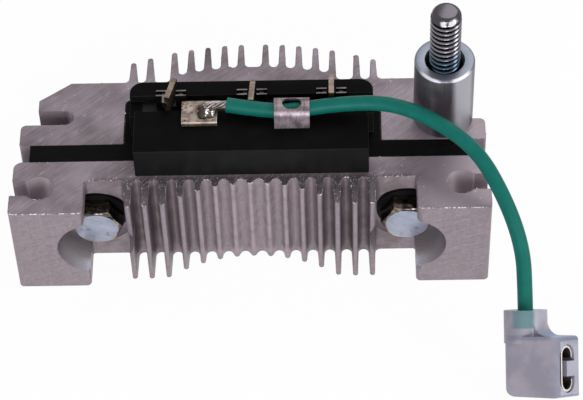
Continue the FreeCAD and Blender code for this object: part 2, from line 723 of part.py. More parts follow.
def folded_leaf(terminal):
    """Second leaf of the folded strip, from the blade's nose back to the outer crimp."""
    lean = math.tan(math.radians(terminal.turn))
    nose_x = terminal.x - (CRIMP_Y - terminal.nose_y) * lean
    root = V(terminal.x - CRIMP_INNER - LEAF_THICKNESS, CRIMP_FRONT_Y + CRIMP_WALL, 0)
    nose = V(nose_x - BLADE_THICKNESS / 2, terminal.nose_y + LEAF_THICKNESS / 2, 0)
    half = V(BLADE_THICKNESS / 2, LEAF_THICKNESS / 2, 0)
    leaf = Outline(root)
    leaf.line(root - ACROSS * LEAF_THICKNESS)
    leaf.line(nose - ACROSS * LEAF_THICKNESS)
    leaf.line(nose + V(half.x, -half.y, 0))
    leaf.line(nose + half)
    return leaf.prism(LEAF_HEIGHT, CRIMP_TOP - LEAF_HEIGHT)


def square_lead(points, half):
    """Square diode lead along runs that follow the axes, with plain corners."""
    lead = None
    for start, end in zip(points, points[1:]):
        low = V(min(start.x, end.x), min(start.y, end.y), min(start.z, end.z))
        high = V(max(start.x, end.x), max(start.y, end.y), max(start.z, end.z))
        run = box(low.x - half, high.x + half, low.y - half, high.y + half, low.z - half, high.z + half)
        lead = run if lead is None else lead.fuse(run)
    return lead


def negative_lead(x):
    """Lead of the diode at the front, back under the housing and up into the crimp."""
    start_y = JOINT_Y - FRONT_CELL_DEPTH / 2
    route = [
        V(x, start_y, SINK_HEIGHT + CELL_HEIGHT),
        V(x, start_y, NEGATIVE_LEAD_Z),
        V(x, CRIMP_Y, NEGATIVE_LEAD_Z),
        V(x, CRIMP_Y, LEAD_TOP),
    ]
    return square_lead(route, LEAD_HALF)


def positive_lead(x):
    """Lead of the diode in the seat, straight up into the crimp."""
    return square_lead([V(x, CRIMP_Y, SINK_HEIGHT - SEAT_DEPTH + CELL_HEIGHT), V(x, CRIMP_Y, LEAD_TOP)],
                       LEAD_HALF)


def exciter_lead(x, up_x):
    """Fine lead from the collecting bar through the exciter diode and up into the crimp."""
    route = [
        V(x, COLLECTOR_BACK_Y + FINE_LEAD_HALF, EXCITER_Z),
        V(x, CRIMP_Y, EXCITER_Z),
        V(up_x, CRIMP_Y, EXCITER_Z),
        V(up_x, CRIMP_Y, LEAD_TOP),
    ]
    return square_lead(route, FINE_LEAD_HALF)


def negative_diode(terminal):
    """Cell soldered to the front sink; its lead runs back and up into the crimp."""
    x = terminal.x + NEGATIVE_LEAD_X
    cell = box(x - CELL_WIDTH / 2, x + CELL_WIDTH / 2, JOINT_Y - FRONT_CELL_DEPTH, JOINT_Y,
               SINK_HEIGHT, SINK_HEIGHT + CELL_HEIGHT)
    return cell.fuse(negative_lead(x))


def positive_diode(terminal):
    """Cell soldered into the rear sink's seat; its lead rises straight into the crimp."""
    x = terminal.x + POSITIVE_LEAD_X
    floor = SINK_HEIGHT - SEAT_DEPTH
    cell = box(x - CELL_WIDTH / 2, x + CELL_WIDTH / 2, CRIMP_Y - CELL_DEPTH / 2, CRIMP_Y + CELL_DEPTH / 2,
               floor, floor + CELL_HEIGHT)
    return cell.fuse(positive_lead(x))


def exciter_diode(terminal):
    """Small axial diode between the sense tab's collecting bar and the crimp."""
    x = terminal.x + EXCITER_BODY_X
    front_y = COLLECTOR_BACK_Y + EXCITER_LEAD
    body = box(x - EXCITER_HALF, x + EXCITER_HALF, front_y, front_y + EXCITER_LENGTH,
               EXCITER_Z - EXCITER_HALF, EXCITER_Z + EXCITER_HALF)
    return body.fuse(exciter_lead(x, terminal.x + EXCITER_LEAD_X))


def d_plus_tab():
    """Sense tab: a plate folded down at both ends, its rear leg running to the collecting bar."""
    under = TAB_TOP - TAB_THICKNESS
    outer_r = TAB_BEND_R + TAB_THICKNESS
    inner_back = TAB_BACK_Y - TAB_THICKNESS
    side_view = Outline(V(TAB_FRONT_Y, HOUSING_TOP, 0))
    side_view.line(V(TAB_FRONT_Y + TAB_THICKNESS, HOUSING_TOP, 0))
    side_view.line(V(TAB_FRONT_Y + TAB_THICKNESS, under, 0))
    side_view.arc(V(TAB_BACK_Y - outer_r, TAB_TOP - outer_r, 0), TAB_BEND_R, 90, 0)
    side_view.arc(V(TAB_BACK_Y - outer_r, TAB_TOP - outer_r, 0), outer_r, 0, 90)
    side_view.arc(V(TAB_FRONT_Y + TAB_THICKNESS, under, 0), TAB_THICKNESS, 90, 180)
    plate = side_view.prism(TAB_WIDTH)
    plate.Placement = FreeCAD.Placement(V(TAB_LEFT, 0, 0), STANDING)

    leg_left = TAB_LEFT + LEG_INSET
    leg_right = TAB_RIGHT - LEG_INSET
    collector_top = COLLECTOR_Z + COLLECTOR_THICKNESS
    collector_front = COLLECTOR_BACK_Y - COLLECTOR_DEPTH
    leg = box(leg_left, leg_right, inner_back, TAB_BACK_Y, COLLECTOR_Z, TAB_TOP - outer_r)
    foot = box(leg_left, leg_right, collector_front, TAB_BACK_Y, COLLECTOR_Z, collector_top)
    left = TERMINALS["left"].x + EXCITER_BODY_X - COLLECTOR_SPARE
    right = TERMINALS["right"].x + EXCITER_BODY_X + COLLECTOR_SPARE
    collector = box(left, right, collector_front, COLLECTOR_BACK_Y, COLLECTOR_Z, collector_top)
    return plate.fuse(leg).fuse(foot).fuse(collector).removeSplitter()


def bared_strands():
    """Bared end of the lead, bent over to the solder joint."""
    start = LEAD_POINTS[0]
    heading = (start - LEAD_POINTS[1]).normalize()
    route = [start, start + heading * STRANDS_STRAIGHT, STRANDS_END]
    return swept_rod(route, STRANDS_R, STRANDS_BEND_R)[0]


def solder_joint(strands):
    """Low dome of solder on the tab, with the strands bedded in it."""
    ball_r = (SOLDER_R**2 + SOLDER_HEIGHT**2) / (2 * SOLDER_HEIGHT)
    centre_z = TAB_TOP + SOLDER_HEIGHT - ball_r
    ball = Part.makeSphere(ball_r, V(SOLDER_X, SOLDER_Y, centre_z))
    keep = box(TAB_LEFT, TAB_RIGHT, SOLDER_Y - SOLDER_R, SOLDER_Y + SOLDER_R, TAB_TOP,
               TAB_TOP + SOLDER_HEIGHT)
    return ball.common(keep).cut(strands)


def wire_clip():
    """Strip folded over the lead; its rear tail is cast into the potting."""
    lean = math.radians(CLIP_LEG_LEAN)
    rear_centre = V(CLIP_REAR_Y - CLIP_REAR_R, CLIP_TOP - CLIP_REAR_R, 0)
    foot = V(CLIP_FOOT_Y, HOUSING_TOP, 0)
    normal = V(-math.cos(lean), math.sin(lean), 0)
    front_z = CLIP_TOP - CLIP_FRONT_R
    front_y = (normal.dot(foot) - CLIP_FRONT_R - normal.y * front_z) / normal.x
    front_centre = V(front_y, front_z, 0)
    tip_angle = 180 - CLIP_LEG_LEAN
    tail_z = GROOVE_FLOOR - CLIP_TAIL
    inner_foot = foot + V(CLIP_THICKNESS / math.cos(lean), 0, 0)

    side_view = Outline(V(CLIP_REAR_Y, tail_z, 0))
    side_view.arc(rear_centre, CLIP_REAR_R, 0, 90)
    side_view.arc(front_centre, CLIP_FRONT_R, 90, tip_angle)
    side_view.line(foot)
    side_view.line(inner_foot)
    side_view.arc(front_centre, CLIP_FRONT_R - CLIP_THICKNESS, tip_angle, 90)
    side_view.arc(rear_centre, CLIP_REAR_R - CLIP_THICKNESS, 90, 0)
    side_view.line(V(CLIP_REAR_Y - CLIP_THICKNESS, tail_z, 0))
    clip = side_view.prism(CLIP_WIDTH)
    clip.Placement = FreeCAD.Placement(V(CLIP_LEFT, 0, 0), STANDING)

    middle = CLIP_REAR_Y - CLIP_SLOT_SETBACK
    half = CLIP_SLOT_HALF - CLIP_SLOT_R
    slot_x = CLIP_LEFT + CLIP_WIDTH / 2
    slot = Outline(V(slot_x, middle - CLIP_SLOT_R, 0))
    slot.arc(V(slot_x + half, middle, 0), CLIP_SLOT_R, -90, 90)
    slot.arc(V(slot_x - half, middle, 0), CLIP_SLOT_R, 90, 270)
    return clip.cut(slot.prism(CLIP_REAR_R, CLIP_TOP - CLIP_REAR_R / 2))


def receptacle_placement():
    """Place of the receptacle: +X to its mouth, +Y back along the lead, tip on the ground."""
    turn = FreeCAD.Rotation(ACROSS, RECEPTACLE_PITCH) * FreeCAD.Rotation(BACKWARD, RECEPTACLE_ROLL)
    return FreeCAD.Placement(RECEPTACLE_ENTRY, turn)


def lead_route():
    """Corner points of the lead, ending inside the receptacle's sleeve."""
    place = receptacle_placement()
    last = place.multVec(V(0, -LEAD_INSERTION, 0))
    before = place.multVec(V(0, LEAD_LAST_RUN - LEAD_INSERTION, 0))
    return LEAD_POINTS + [before, last]


def lead_wire():
    """Insulated lead; prints its length, bends and volume so that its route can be checked."""
    route = lead_route()
    lead, length, radii = swept_rod(route, LEAD_DIAMETER / 2, None)
    expected = math.pi * LEAD_DIAMETER**2 / 4 * length
    print("lead length %.2f mm, bends %s" % (length, ", ".join("%.1f" % r for r in radii)))
    print("lead volume %.2f of %.2f mm3, lowest %.2f" % (lead.Volume, expected, lead.BoundBox.ZMin))
    return lead


def crimped_conductor():
    """Bared conductor in the receptacle's barrel, from the end of the insulation."""
    length = CONDUCTOR_SPARE - BARREL_END - LEAD_INSERTION
    strand = rod(CONDUCTOR_R, V(0, -LEAD_INSERTION, 0), -BACKWARD, length)
    strand.Placement = receptacle_placement()
    return strand


def curl(y, hand):
    """Rolled edge of the receptacle's tongue; hand is +1 for the edge nearer the lead."""
    centre = V(y - hand * CURL_R, TONGUE_Z + TONGUE_THICKNESS - CURL_R, 0)
    end = 90 - hand * CURL_SWEEP
    edge = Outline(polar(centre, CURL_R, 90))
    edge.arc(centre, CURL_R, 90, end)
    edge.arc(centre, CURL_R - TONGUE_THICKNESS, end, 90)
    return edge.prism(TONGUE_LENGTH, TONGUE_X)


def neck_middle():
    """Middle of the neck that joins the tongue to the barrel, along the lead's axis."""
    return (TONGUE_NEAR + BARREL_END) / 2


def flag_receptacle():
    """Push-on receptacle with its barrel at a right angle to the way it is pushed on."""
    flat = Outline(V(TONGUE_FAR + CURL_R, TONGUE_Z, 0))
    flat.line(V(TONGUE_NEAR - CURL_R, TONGUE_Z, 0))
    flat.line(V(TONGUE_NEAR - CURL_R, TONGUE_Z + TONGUE_THICKNESS, 0))
    flat.line(V(TONGUE_FAR + CURL_R, TONGUE_Z + TONGUE_THICKNESS, 0))
    tongue = flat.prism(TONGUE_LENGTH, TONGUE_X)
    tongue = tongue.fuse(curl(TONGUE_NEAR, 1)).fuse(curl(TONGUE_FAR, -1))
    tongue.Placement = FreeCAD.Placement(V(0, 0, 0), STANDING)

    barrel = rod(BARREL_R, V(0, BARREL_START, 0), -BACKWARD, BARREL_LENGTH)
    bore = rod(CONDUCTOR_R, V(0, BARREL_START, 0), -BACKWARD, BARREL_LENGTH)
    neck_side = Outline(V(TONGUE_X, TONGUE_Z, 0))
    neck_side.line(V(TONGUE_X, TONGUE_Z + TONGUE_THICKNESS, 0))
    neck_side.line(V(TONGUE_X - NECK_SLOPE, TONGUE_Z + TONGUE_THICKNESS, 0))
    neck_side.line(polar(V(0, 0, 0), BARREL_R, 75))
    neck_side.line(polar(V(0, 0, 0), BARREL_R - TONGUE_THICKNESS, 60))
    neck_side.line(V(TONGUE_X - NECK_SLOPE, TONGUE_Z, 0))
    neck = neck_side.prism(2 * NECK_HALF, -NECK_HALF)
    neck.rotate(V(0, 0, 0), ACROSS, 90)
    neck.translate(V(0, neck_middle(), 0))
    body = barrel.fuse(neck).fuse(tongue).cut(bore).removeSplitter()
    body.Placement = receptacle_placement()
    return body


def receptacle_sleeve():
    """Soft insulating sleeve: a collar round the lead and a flat shell round the receptacle."""
    section = Outline(V(SHELL_LEFT, 0, 0))
    low = SHELL_CORNER_R - SHELL_HALF
    section.arc(V(SHELL_LEFT + SHELL_CORNER_R, low, 0), SHELL_CORNER_R, 180, 270)
    section.arc(V(SHELL_RIGHT - SHELL_CORNER_R, low, 0), SHELL_CORNER_R, 270, 360)
    section.arc(V(SHELL_RIGHT - SHELL_CORNER_R, -low, 0), SHELL_CORNER_R, 0, 90)
    section.arc(V(SHELL_LEFT + SHELL_CORNER_R, -low, 0), SHELL_CORNER_R, 90, 180)
    slab = section.prism(SHELL_SHOULDER - SHELL_BOTTOM, SHELL_BOTTOM)
    slab.rotate(V(0, 0, 0), ACROSS, -90)

    heel = V(SHELL_LEFT + SHELL_HEEL_R, SHELL_BOTTOM + SHELL_HEEL_R, 0)
    toe = V(SHELL_RIGHT - SHELL_TOE_R, SHELL_BOTTOM + SHELL_TOE_R, 0)
    brow = V(SHELL_RIGHT - SHELL_SHOULDER_R, SHELL_SHOULDER - SHELL_SHOULDER_R, 0)
    front = Outline(V(SHELL_LEFT, SHELL_SHOULDER, 0))
    front.arc(heel, SHELL_HEEL_R, 180, 270)
    front.arc(toe, SHELL_TOE_R, 270, 360)
    front.arc(brow, SHELL_SHOULDER_R, 0, 90)
    shell = front.prism(2 * SHELL_HALF, -SHELL_HALF).common(slab)

    web = Outline(V(0, -ENTRY_LENGTH, 0))
    web.line(V(WEB_X + WEB_SWEEP_R, -ENTRY_LENGTH, 0))
    web.arc(V(WEB_X + WEB_SWEEP_R, SHELL_SHOULDER + WEB_SWEEP_R, 0), WEB_SWEEP_R, 270, 180)
    web.line(V(0, SHELL_SHOULDER + WEB_SWEEP_R, 0))
    shell = shell.fuse(web.prism(2 * WEB_HALF, -WEB_HALF))
    shell = shell.fuse(rod(ENTRY_R, V(0, 0, 0), -BACKWARD, ENTRY_LENGTH)).removeSplitter()
    shell = shell.cut(receptacle_room())
    shell.Placement = receptacle_placement()
    return shell


def receptacle_room():
    """Space inside the sleeve for the lead, the barrel, the neck and the tongue."""
    bore_y = BARREL_START + POCKET_PLAY
    entry = rod(LEAD_DIAMETER / 2 + LEAD_PLAY, V(0, 0, 0), -BACKWARD, -bore_y)
    bore_length = BARREL_LENGTH + BARREL_SPARE
    bore = rod(BARREL_R + BARREL_PLAY, V(0, bore_y, 0), -BACKWARD, bore_length)
    top = TONGUE_Z + TONGUE_THICKNESS + POCKET_PLAY
    floor = TONGUE_Z + TONGUE_THICKNESS - 2 * CURL_R - POCKET_PLAY
    curl_z = TONGUE_Z + TONGUE_THICKNESS - CURL_R
    mouth = Outline(V(TONGUE_FAR + CURL_R, top, 0))
    mouth.arc(V(TONGUE_NEAR - CURL_R, curl_z, 0), CURL_R + POCKET_PLAY, 90, -90)
    mouth.arc(V(TONGUE_FAR + CURL_R, curl_z, 0), CURL_R + POCKET_PLAY, -90, -270)
    pocket = mouth.prism(SHELL_RIGHT - POCKET_BACK_X)
    pocket.Placement = FreeCAD.Placement(V(POCKET_BACK_X, 0, 0), STANDING)
    rib_y = (TONGUE_NEAR + TONGUE_FAR) / 2
    rib = box(POCKET_BACK_X, SHELL_RIGHT, rib_y - RIB_HALF, rib_y + RIB_HALF, floor, TONGUE_Z - RIB_GAP)
    half = NECK_HALF + POCKET_PLAY
    passage = box(0, TONGUE_X + POCKET_PLAY, neck_middle() - half, neck_middle() + half, CONDUCTOR_R, top)
    return entry.fuse(bore).fuse(pocket.cut(rib)).fuse(passage)


def build():
    """All pieces by name."""
    parts = {
        "front_heat_sink": front_heat_sink(),
        "rear_heat_sink": rear_heat_sink(),
        "insulator_bar": insulator_bar(),
        "diode_housing": diode_housing(),
        "output_stud": output_stud(),
        "stud_sleeve": stud_sleeve(),
        "d_plus_tab": d_plus_tab(),
        "wire_clip": wire_clip(),
        "bared_strands": bared_strands(),
        "lead_wire": lead_wire(),
        "crimped_conductor": crimped_conductor(),
        "flag_receptacle": flag_receptacle(),
        "receptacle_sleeve": receptacle_sleeve(),
    }
    parts["solder_joint"] = solder_joint(parts["bared_strands"])
    for name, side in SIDES.items():
        parts["clamp_bolt_" + name] = clamp_bolt(side)
        parts["bolt_bush_" + name] = bolt_bush(side)
    passing = [parts["d_plus_tab"], parts["wire_clip"]]
    for name, terminal in TERMINALS.items():
        parts["ac_terminal_" + name] = ac_terminal(terminal)
        diodes = {
            "negative_diode_" + name: negative_diode(terminal),
            "positive_diode_" + name: positive_diode(terminal),
            "exciter_diode_" + name: exciter_diode(terminal),
        }
        parts.update(diodes)
        passing.extend(diodes.values())
    parts["potting"] = potting(passing)
    return parts


def main():
    os.makedirs("parts", exist_ok=True)
    for name, shape in build().items():
        shape.exportStep("parts/%s.step" % name)
        print("%s: %d solid, %.1f mm3, valid %s" % (name, len(shape.Solids), shape.Volume, shape.isValid()))


main()
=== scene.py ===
import json
import logging
import math
from collections.abc import Callable, Sequence
from dataclasses import dataclass, field
from enum import Enum, IntEnum
from typing import ClassVar

import bmesh
import bpy
import numpy as np
from mathutils import Matrix, Vector

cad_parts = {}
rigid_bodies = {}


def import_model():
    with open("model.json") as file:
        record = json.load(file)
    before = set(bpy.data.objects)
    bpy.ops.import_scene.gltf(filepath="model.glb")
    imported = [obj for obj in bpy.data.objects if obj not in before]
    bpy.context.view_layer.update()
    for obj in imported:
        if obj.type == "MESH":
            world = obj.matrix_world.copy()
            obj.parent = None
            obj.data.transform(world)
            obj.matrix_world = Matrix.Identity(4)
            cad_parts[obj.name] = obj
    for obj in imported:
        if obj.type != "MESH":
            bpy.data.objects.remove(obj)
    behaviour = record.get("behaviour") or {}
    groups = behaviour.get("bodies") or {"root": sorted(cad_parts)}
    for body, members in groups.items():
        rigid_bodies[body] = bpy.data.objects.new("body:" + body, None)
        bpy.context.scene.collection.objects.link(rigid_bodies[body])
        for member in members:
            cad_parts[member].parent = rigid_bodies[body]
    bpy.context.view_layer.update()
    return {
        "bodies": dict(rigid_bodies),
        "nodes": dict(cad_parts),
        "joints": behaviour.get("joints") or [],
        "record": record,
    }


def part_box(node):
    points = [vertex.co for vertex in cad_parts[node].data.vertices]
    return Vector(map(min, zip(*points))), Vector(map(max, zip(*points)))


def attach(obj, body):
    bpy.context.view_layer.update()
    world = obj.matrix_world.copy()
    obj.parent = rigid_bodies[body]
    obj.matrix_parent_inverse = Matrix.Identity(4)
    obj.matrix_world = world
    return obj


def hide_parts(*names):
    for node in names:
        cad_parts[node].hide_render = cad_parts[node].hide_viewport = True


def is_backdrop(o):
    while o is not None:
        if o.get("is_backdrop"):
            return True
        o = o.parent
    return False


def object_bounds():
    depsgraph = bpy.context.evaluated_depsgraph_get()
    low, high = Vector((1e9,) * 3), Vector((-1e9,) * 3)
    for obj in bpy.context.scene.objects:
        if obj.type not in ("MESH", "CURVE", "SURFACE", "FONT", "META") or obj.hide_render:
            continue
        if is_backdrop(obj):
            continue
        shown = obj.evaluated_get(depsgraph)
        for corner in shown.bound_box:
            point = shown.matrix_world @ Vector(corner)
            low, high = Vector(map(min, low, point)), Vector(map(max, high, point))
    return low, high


LOG = logging.getLogger("rectifier")

Pair = tuple[float, float]
Triple = tuple[float, float, float]
Socket = bpy.types.NodeSocket
Mesh = bpy.types.Mesh
Piece = bpy.types.Object
Face = bmesh.types.BMFace
Shape = bmesh.types.BMesh

MM = 0.001
BODY = "root"

# A face looks along a direction where the cosine between the two is over FACING. On softened pieces an edge
# stays sharp from SHARP_DEGREES on and is rounded from ROUNDED_DEGREES on. In a CAD node's mesh, points
# within MERGE_DISTANCE (metres) become one and so do faces within FLAT_ANGLE (radians) of each other.
FACING = 0.8
SHARP_DEGREES = 32.0
ROUNDED_DEGREES = 34.0
MERGE_DISTANCE = 2e-6
FLAT_ANGLE = 0.008
SEAM_DISTANCE = 1e-7

# Places and directions that shapes and finishes share, in millimetres.
SINK_TOP = 24.5
BOLT_AXIS: Pair = (32.3, 12.6)
CHANNEL_AXIS: Pair = (43.4, -15.9)
STUD_AXIS: Pair = (40.2, 2.0)
SOLDER_CENTRE: Pair = (-8.5, -3.6)
ENTRY: Triple = (55.4, -41.0, 14.0)
HEADING: Triple = (0.0, -0.7815, -0.6239)
MOUTH: Triple = (0.766, -0.401, 0.502)


def tint(*levels: int) -> Triple:
    """Linear colour of a display colour: c/12.92 below 0.04045 and ((c + 0.055)/1.055)^2.4 above.

    Args:
        levels: Red, green and blue, 0 to 255.

    Returns:
        The three linear values.
    """
    shares = (level / 255 for level in levels)
    return tuple(c / 12.92 if c < 0.04045 else ((c + 0.055) / 1.055) ** 2.4 for c in shares)


class Axis(Enum):
    """Axis that a pattern is turned about."""

    Y = 1
    Z = 2


class Slot(Enum):
    """Material slots of the record."""

    ALUMINIUM = "aluminium"
    BLACK_PLASTIC = "black_plastic"
    BOLT_STEEL = "bolt_steel"
    CLIP_METAL = "clip_metal"
    COLLAR_STEEL = "collar_steel"
    COPPER_STRANDS = "copper_strands"
    LEAD_INSULATION = "lead_insulation"
    SLEEVE_NYLON = "sleeve_nylon"
    SOLDER = "solder"
    TERMINAL_METAL = "terminal_metal"
    TINNED_METAL = "tinned_metal"
    ZINC_STEEL = "zinc_steel"


class SinkFace(IntEnum):
    """Material indices of a heat sink."""

    SAWN = 0
    TORN = 1
    DRAWN = 2
    MILLED = 3


class Wire:
    """One number in a node tree; arithmetic on it adds Math nodes."""

    def __init__(self, tree: "NodeTree", socket: Socket) -> None:
        """Wraps an output socket of a tree."""
        self.tree = tree
        self.socket = socket

    def __add__(self, other: "Wire | float") -> "Wire":
        """Sum."""
        return self.tree.math("ADD", self, other)

    def __sub__(self, other: "Wire | float") -> "Wire":
        """Difference."""
        return self.tree.math("SUBTRACT", self, other)

    def __rsub__(self, other: float) -> "Wire":
        """Difference from a plain number."""
        return self.tree.math("SUBTRACT", other, self)

    def __mul__(self, other: "Wire | float") -> "Wire":
        """Product."""
        return self.tree.math("MULTIPLY", self, other)

    def __abs__(self) -> "Wire":
        """Distance from zero."""
        return self.tree.math("ABSOLUTE", self)

    __radd__ = __add__
    __rmul__ = __mul__

    def ramp(self, low: float, high: float) -> "Wire":
        """Soft step.

        Args:
            low: Where the step leaves 0.
            high: Where it reaches 1; it may lie below low for a falling step.

        Returns:
            3t^2 - 2t^3 for t from 0 at low to 1 at high, held outside them.
        """
        node = self.tree.node("ShaderNodeMapRange", {"interpolation_type": "SMOOTHSTEP"},
                              {0: self, 1: low, 2: high, 3: 0.0, 4: 1.0})
        return Wire(self.tree, node.outputs[0])


class NodeTree:
    """Node tree of a material or of the surroundings."""

    def __init__(self, owner: "bpy.types.Material | bpy.types.World") -> None:
        """Starts with an empty tree.

        Args:
            owner: The material or the world.
        """
        owner.use_nodes = True
        self.nodes = owner.node_tree.nodes
        self.links = owner.node_tree.links
        self.nodes.clear()

    def node(self, kind: str, settings: dict, inputs: dict) -> bpy.types.Node:
        """Adds a node.

        Args:
            kind: The node's type.
            settings: Properties, set before the inputs.
            inputs: Values, Wires or sockets, by the input's name or number.

        Returns:
            The node.
        """
        made = self.nodes.new(kind)
        for key, value in settings.items():
            setattr(made, key, value)
        for key, value in inputs.items():
            self.feed(made.inputs[key], value)
        return made

    def feed(self, socket: Socket, value: object) -> None:
        """Gives an input socket its value or its link.

        Args:
            socket: The input socket.
            value: A Wire, an output socket or a plain value.
        """
        if isinstance(value, Wire):
            value = value.socket
        if isinstance(value, Socket):
            self.links.new(value, socket)
        elif socket.type == "RGBA":
            socket.default_value = (*value[:3], 1.0)
        else:
            socket.default_value = value

    def math(self, operation: str, *values: Wire | float) -> Wire:
        """Adds a Math node.

        Args:
            operation: The node's operation.
            values: Its one or two values.

        Returns:
            The result.
        """
        made = self.node("ShaderNodeMath", {"operation": operation}, dict(enumerate(values)))
        return Wire(self, made.outputs[0])

    def seen_directly(self) -> Wire:
        """Tests what kind of ray meets the surface.

        Returns:
            1 for camera, glossy and transmission rays, else 0.
        """
        path = self.node("ShaderNodeLightPath", {}, {}).outputs
        result = Wire(self, path["Is Camera Ray"])
        for name in ("Is Glossy Ray", "Is Transmission Ray"):
            result = self.math("MAXIMUM", result, Wire(self, path[name]))
        return result


class ShaderTree(NodeTree):
    """A material's node tree: Object coordinates in millimetres and one principled shader."""

    def __init__(self, name: str) -> None:
        """Starts an empty material.

        Args:
            name: Name of the material.
        """
        self.material = bpy.data.materials.new(name)
        super().__init__(self.material)
        self.surface = self.node("ShaderNodeBsdfPrincipled", {}, {})
        self.node("ShaderNodeOutputMaterial", {}, {0: self.surface.outputs[0]})
        raw = self.node("ShaderNodeTexCoord", {}, {}).outputs["Object"]
        self.place = self.node("ShaderNodeVectorMath", {"operation": "SCALE"}, {0: raw, 3: 1 / MM}).outputs[0]

    def axes(self) -> tuple[Wire, Wire, Wire]:
        """The three coordinates of the place, in millimetres."""
        parts = self.node("ShaderNodeSeparateXYZ", {}, {0: self.place}).outputs
        return Wire(self, parts[0]), Wire(self, parts[1]), Wire(self, parts[2])

    def away(self, across: Wire, along: Wire, centre: Pair) -> Wire:
        """Distance from a point of a plane.

        Args:
            across: First coordinate.
            along: Second coordinate.
            centre: The point's two coordinates.

        Returns:
            The square root of the two differences squared and added.
        """
        first, second = across - centre[0], along - centre[1]
        return self.math("SQRT", first * first + second * second)

    def noise(self, scale: float, detail: float = 3.0, roughness: float = 0.5,
              vector: Socket | None = None) -> Wire:
        """Soft noise from 0 to 1 about 0.5.

        Args:
            scale: Size of the pattern, in spots per unit.
            detail: Number of finer layers.
            roughness: Strength of the finer layers.
            vector: Coordinates, or None for the plain place.

        Returns:
            The noise.
        """
        made = self.node("ShaderNodeTexNoise", {}, {"Vector": self.place if vector is None else vector,
                                                    "Scale": scale, "Detail": detail,
                                                    "Roughness": roughness})
        return Wire(self, made.outputs[0])

    def streaks(self, degrees: float, stretch: Triple, detail: float = 3.0, roughness: float = 0.5,
                about: Axis = Axis.Z) -> Wire:
        """Noise over turned and stretched coordinates.

        Args:
            degrees: Turn, taken off before the stretch.
            stretch: Spots per millimetre along each turned axis.
            detail: Number of finer layers.
            roughness: Strength of the finer layers.
            about: Axis of the turn.

        Returns:
            The noise.
        """
        turn = [0.0, 0.0, 0.0]
        turn[about.value] = math.radians(-degrees)
        turned = self.node("ShaderNodeMapping", {}, {0: self.place, 2: turn}).outputs[0]
        scaled = self.node("ShaderNodeVectorMath", {"operation": "MULTIPLY"}, {0: turned, 1: stretch})
        return self.noise(1.0, detail, roughness, scaled.outputs[0])

    def cells(self, scale: float) -> Wire:
        """Distance to the nearest of scattered points, of which a unit holds about scale."""
        made = self.node("ShaderNodeTexVoronoi", {}, {"Vector": self.place, "Scale": scale})
        return Wire(self, made.outputs["Distance"])

    def layers(self, base: object, *coats: tuple[Wire, object]) -> object:
        """Lays coats of colour over a base, each by its mask.

        Args:
            base: First colour or its socket.
            coats: Mask, 0 to 1, and colour or socket of each coat.

        Returns:
            The mixed colour.
        """
        for mask, colour in coats:
            base = self.node("ShaderNodeMix", {"data_type": "RGBA", "clamp_factor": True},
                             {0: mask, 6: base, 7: colour}).outputs[2]
        return base

    def relief(self, height: Wire, depth: float, strength: float) -> None:
        """Presses a height pattern into the surface.

        Args:
            height: The pattern, 0 to 1.
            depth: Height of 1, in millimetres.
            strength: Share of the relief that shows.
        """
        made = self.node("ShaderNodeBump", {}, {"Height": height, "Distance": depth * MM,
                                                "Strength": strength})
        self.feed(self.surface.inputs["Normal"], made.outputs[0])

    def finish(self, colour: object, roughness: Wire | float, metallic: Wire | float = 0.0,
               gloss: float = 0.5) -> None:
        """Feeds the principled shader.

        Args:
            colour: Base colour.
            roughness: Roughness.
            metallic: 0 for plastics to 1 for bare metal.
            gloss: Specular level of what isn't metal.
        """
        for name, value in (("Base Color", colour), ("Roughness", roughness), ("Metallic", metallic),
                            ("Specular IOR Level", gloss)):
            self.feed(self.surface.inputs[name], value)


@dataclass(frozen=True)
class Finish:
    """A surface finish, made a material once and then shared; unnamed it has its class's name."""

    name: str = ""
    made: ClassVar[dict[str, bpy.types.Material]] = {}

    def material(self) -> bpy.types.Material:
        """Makes the material on first use.

        Returns:
            The finish's material.
        """
        title = self.name or type(self).__name__
        if title not in Finish.made:
            tree = ShaderTree(title)
            self.paint(tree)
            Finish.made[title] = tree.material
        return Finish.made[title]

    def paint(self, tree: ShaderTree) -> None:
        """Builds the finish in an empty tree.

        Args:
            tree: The empty tree.
        """
        raise NotImplementedError


